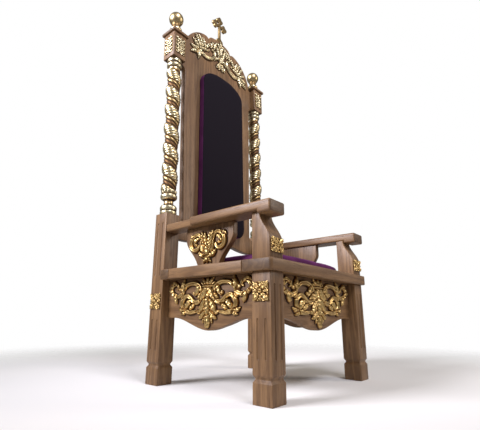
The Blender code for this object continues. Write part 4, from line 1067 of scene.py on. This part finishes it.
low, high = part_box("seat_cushion")
CUSHION_SIDE_IN = 0.010
CUSHION_CORNER = 0.035
CUSHION_BAND = 0.030
CUSHION_ROLL = 0.009
CUSHION_BULGE = 0.008
CUSHION_CROWN = (high.z - low.z - CUSHION_BAND - 0.001) * 0.80
middle = (low + high) / 2
half_x, half_y = (high.x - low.x) / 2 - CUSHION_SIDE_IN, (high.y - low.y) / 2 - CUSHION_SIDE_IN
outline = []
for sx, sy, start in ((1, -1, -90), (1, 1, 0), (-1, 1, 90), (-1, -1, 180)):
    for angle in sweep(start, start + 90, 8):
        outline.append((sx * (half_x - CUSHION_CORNER) + CUSHION_CORNER * cos(angle),
                        sy * (half_y - CUSHION_CORNER) + CUSHION_CORNER * sin(angle)))
cushion = sawn_board("velvet_cushion", outline, CUSHION_BAND, CUSHION_ROLL, 4)
settle(cushion, Matrix.Translation((middle.x, middle.y, low.z)) @ Matrix.Rotation(pi / 2, 4, "X"))


def seat_hold(points):
    """Flat on the deck, and crowned towards the middle."""
    points = points.copy()
    reach_x = np.abs(points[:, 0] - middle.x) / (half_x + CUSHION_BULGE)
    reach_y = np.abs(points[:, 1] - middle.y) / (half_y + CUSHION_BULGE)
    dome = np.clip(1 - reach_x ** 2.6, 0, 1) * np.clip(1 - reach_y ** 2.6, 0, 1)
    lift = CUSHION_CROWN * dome ** 0.6 * ramp(points[:, 2], low.z, CUSHION_BAND)
    points[:, 2] = np.clip(points[:, 2] + lift, low.z, high.z)
    return points


stuff(cushion, CUSHION_SIDE_IN, seat_hold)
finish_piece(cushion, pile_velvet("plum_velvet", False), "seat_cushion", angle=60)

PAD_HALF = 0.180
PAD_THICK = 0.044
PAD_FOOT = 0.700
PAD_TOP = 1.698
PAD_ARCH_RISE = 0.105
PAD_ARCH_POWER = 2.3
PAD_CORNER = 0.050
PAD_CORNER_RISE = 0.065
PAD_IN = 0.004
PAD_ROLL = 0.006
right = [(0.0, PAD_FOOT + PAD_IN)]
for angle in sweep(-90, 0, 8):
    right.append((PAD_HALF - PAD_IN - PAD_CORNER * (1 - cos(angle)),
                  PAD_FOOT + PAD_IN + PAD_CORNER_RISE * (1 + sin(angle))))
for angle in sweep(0, 90, 24):
    across = max(0.0, cos(angle)) ** (2 / PAD_ARCH_POWER)
    up = sin(angle) ** (2 / PAD_ARCH_POWER)
    right.append(((PAD_HALF - PAD_IN) * across, PAD_TOP - PAD_IN - PAD_ARCH_RISE * (1 - up)))
pad = sawn_board("velvet_pad", both_sides(right), PAD_THICK - PAD_ROLL, PAD_ROLL, 3)


def back_hold(points):
    """Flat on the board behind, and no further forward than the pad's depth."""
    points = points.copy()
    points[:, 1] = np.clip(points[:, 1], -0.005, PAD_THICK - PAD_ROLL)
    return points


stuff(pad, PAD_ROLL, back_hold)
place = back_frame @ Matrix.Translation((0, PANEL_FACE - PAD_THICK + 0.0055, -POST_TOP))
finish_piece(pad, pile_velvet("velvet_dark_on_front_faces", True), "back_pad", place, 60)


# Studio. A pale floor, a soft key light from the chair's left, a large fill in front and a white
# surround. The camera stands low at the chair's front left and looks up at it.
# Each light: name, place, target, size, watts, colour, spread in degrees
LIGHTS = (("key", (-3.2, 1.2, 2.8), (0, 0, 1.5), (1.6, 1.8), 64, "F1F2FF", 70),
          ("fill", (2.4, -3.0, 2.4), (0, 0, 1.2), (1.2, 1.6), 16, "FFF4EA", 90),
          ("top", (-0.9, -2.2, 3.7), (0, 0.3, 1.7), (1.4, 1.4), 30, "EEF0FF", 80))
# How strongly the surround lights the chair, and how bright it stands behind it
SURROUND_LIGHT = 0.26
SURROUND_SEEN = 1.0
FLOOR_WHITE = "F3EFE9"
# The floor thins out into the surround between these distances
FLOOR_FADE = (1.0, 2.9)

for name, spot, target, size, power, colour, spread in LIGHTS:
    light = bpy.data.lights.new(name, "AREA")
    light.shape = "RECTANGLE"
    light.size, light.size_y = size
    light.energy = power
    light.spread = radians(spread)
    light.color = linear(colour)[:3]
    lamp = bpy.data.objects.new(name, light)
    bpy.context.collection.objects.link(lamp)
    lamp.location = spot
    lamp.rotation_euler = (Vector(target) - Vector(spot)).to_track_quat("-Z", "Y").to_euler()

world = bpy.data.worlds.new("white_surround")
world.use_nodes = True
surround = world.node_tree
seen = add_node(surround, "LightPath")
bright = add_node(surround, "MapRange", {"To Min": SURROUND_LIGHT, "To Max": SURROUND_SEEN},
                  {"Value": seen.outputs["Is Camera Ray"]})
surround.nodes["Background"].inputs["Color"].default_value = (1.0, 1.0, 1.0, 1.0)
connect(surround.nodes["Background"], {"Strength": bright})
bpy.context.scene.world = world
bpy.context.scene.view_settings.view_transform = "Standard"

floor = begin("studio_floor", bpy.ops.mesh.primitive_plane_add, size=60.0, location=(0, 0, 0))
floor_paint, add, shader, place = new_finish("matt_white_floor", {
    "Base Color": linear(FLOOR_WHITE), "Roughness": 0.9, "Specular IOR Level": 0.0})
away = add("VectorMath", {"operation": "LENGTH"}, {0: place})
fade = add("MapRange", {"interpolation_type": "SMOOTHSTEP", "From Min": FLOOR_FADE[0],
                        "From Max": FLOOR_FADE[1], "To Min": 1.0, "To Max": 0.0}, {"Value": away.outputs["Value"]})
connect(shader, {"Alpha": fade})
floor.data.materials.append(floor_paint)

# The camera, solved from the edges of the chair, in a frame of 480 by 430 pixels
CAMERA_PLACE = (-1.4225, -1.0821, 0.2766)
CAMERA_TURN = radians(49.615)
CAMERA_TILT = radians(15.154)
CAMERA_ROLL = radians(0.296)
FOCAL_PIXELS = 366.33
MIDDLE_PIXEL = (239.43, 218.33)
PICTURE = (480, 430)
ahead = Vector((sin(CAMERA_TURN) * cos(CAMERA_TILT), cos(CAMERA_TURN) * cos(CAMERA_TILT), sin(CAMERA_TILT)))
level = Vector((cos(CAMERA_TURN), -sin(CAMERA_TURN), 0))
above = level.cross(ahead)
right_way = level * cos(CAMERA_ROLL) + above * sin(CAMERA_ROLL)
up_way = -level * sin(CAMERA_ROLL) + above * cos(CAMERA_ROLL)
lens = bpy.data.cameras.new("camera")
lens.sensor_fit = "HORIZONTAL"
lens.lens = FOCAL_PIXELS * lens.sensor_width / PICTURE[0]
lens.shift_x = (PICTURE[0] / 2 - MIDDLE_PIXEL[0]) / PICTURE[0]
lens.shift_y = -(PICTURE[1] / 2 - MIDDLE_PIXEL[1]) / PICTURE[0]
camera = bpy.data.objects.new("camera", lens)
bpy.context.collection.objects.link(camera)
view = Matrix((right_way, up_way, -ahead)).transposed().to_4x4()
camera.matrix_world = Matrix.Translation(CAMERA_PLACE) @ view
bpy.context.scene.camera = camera
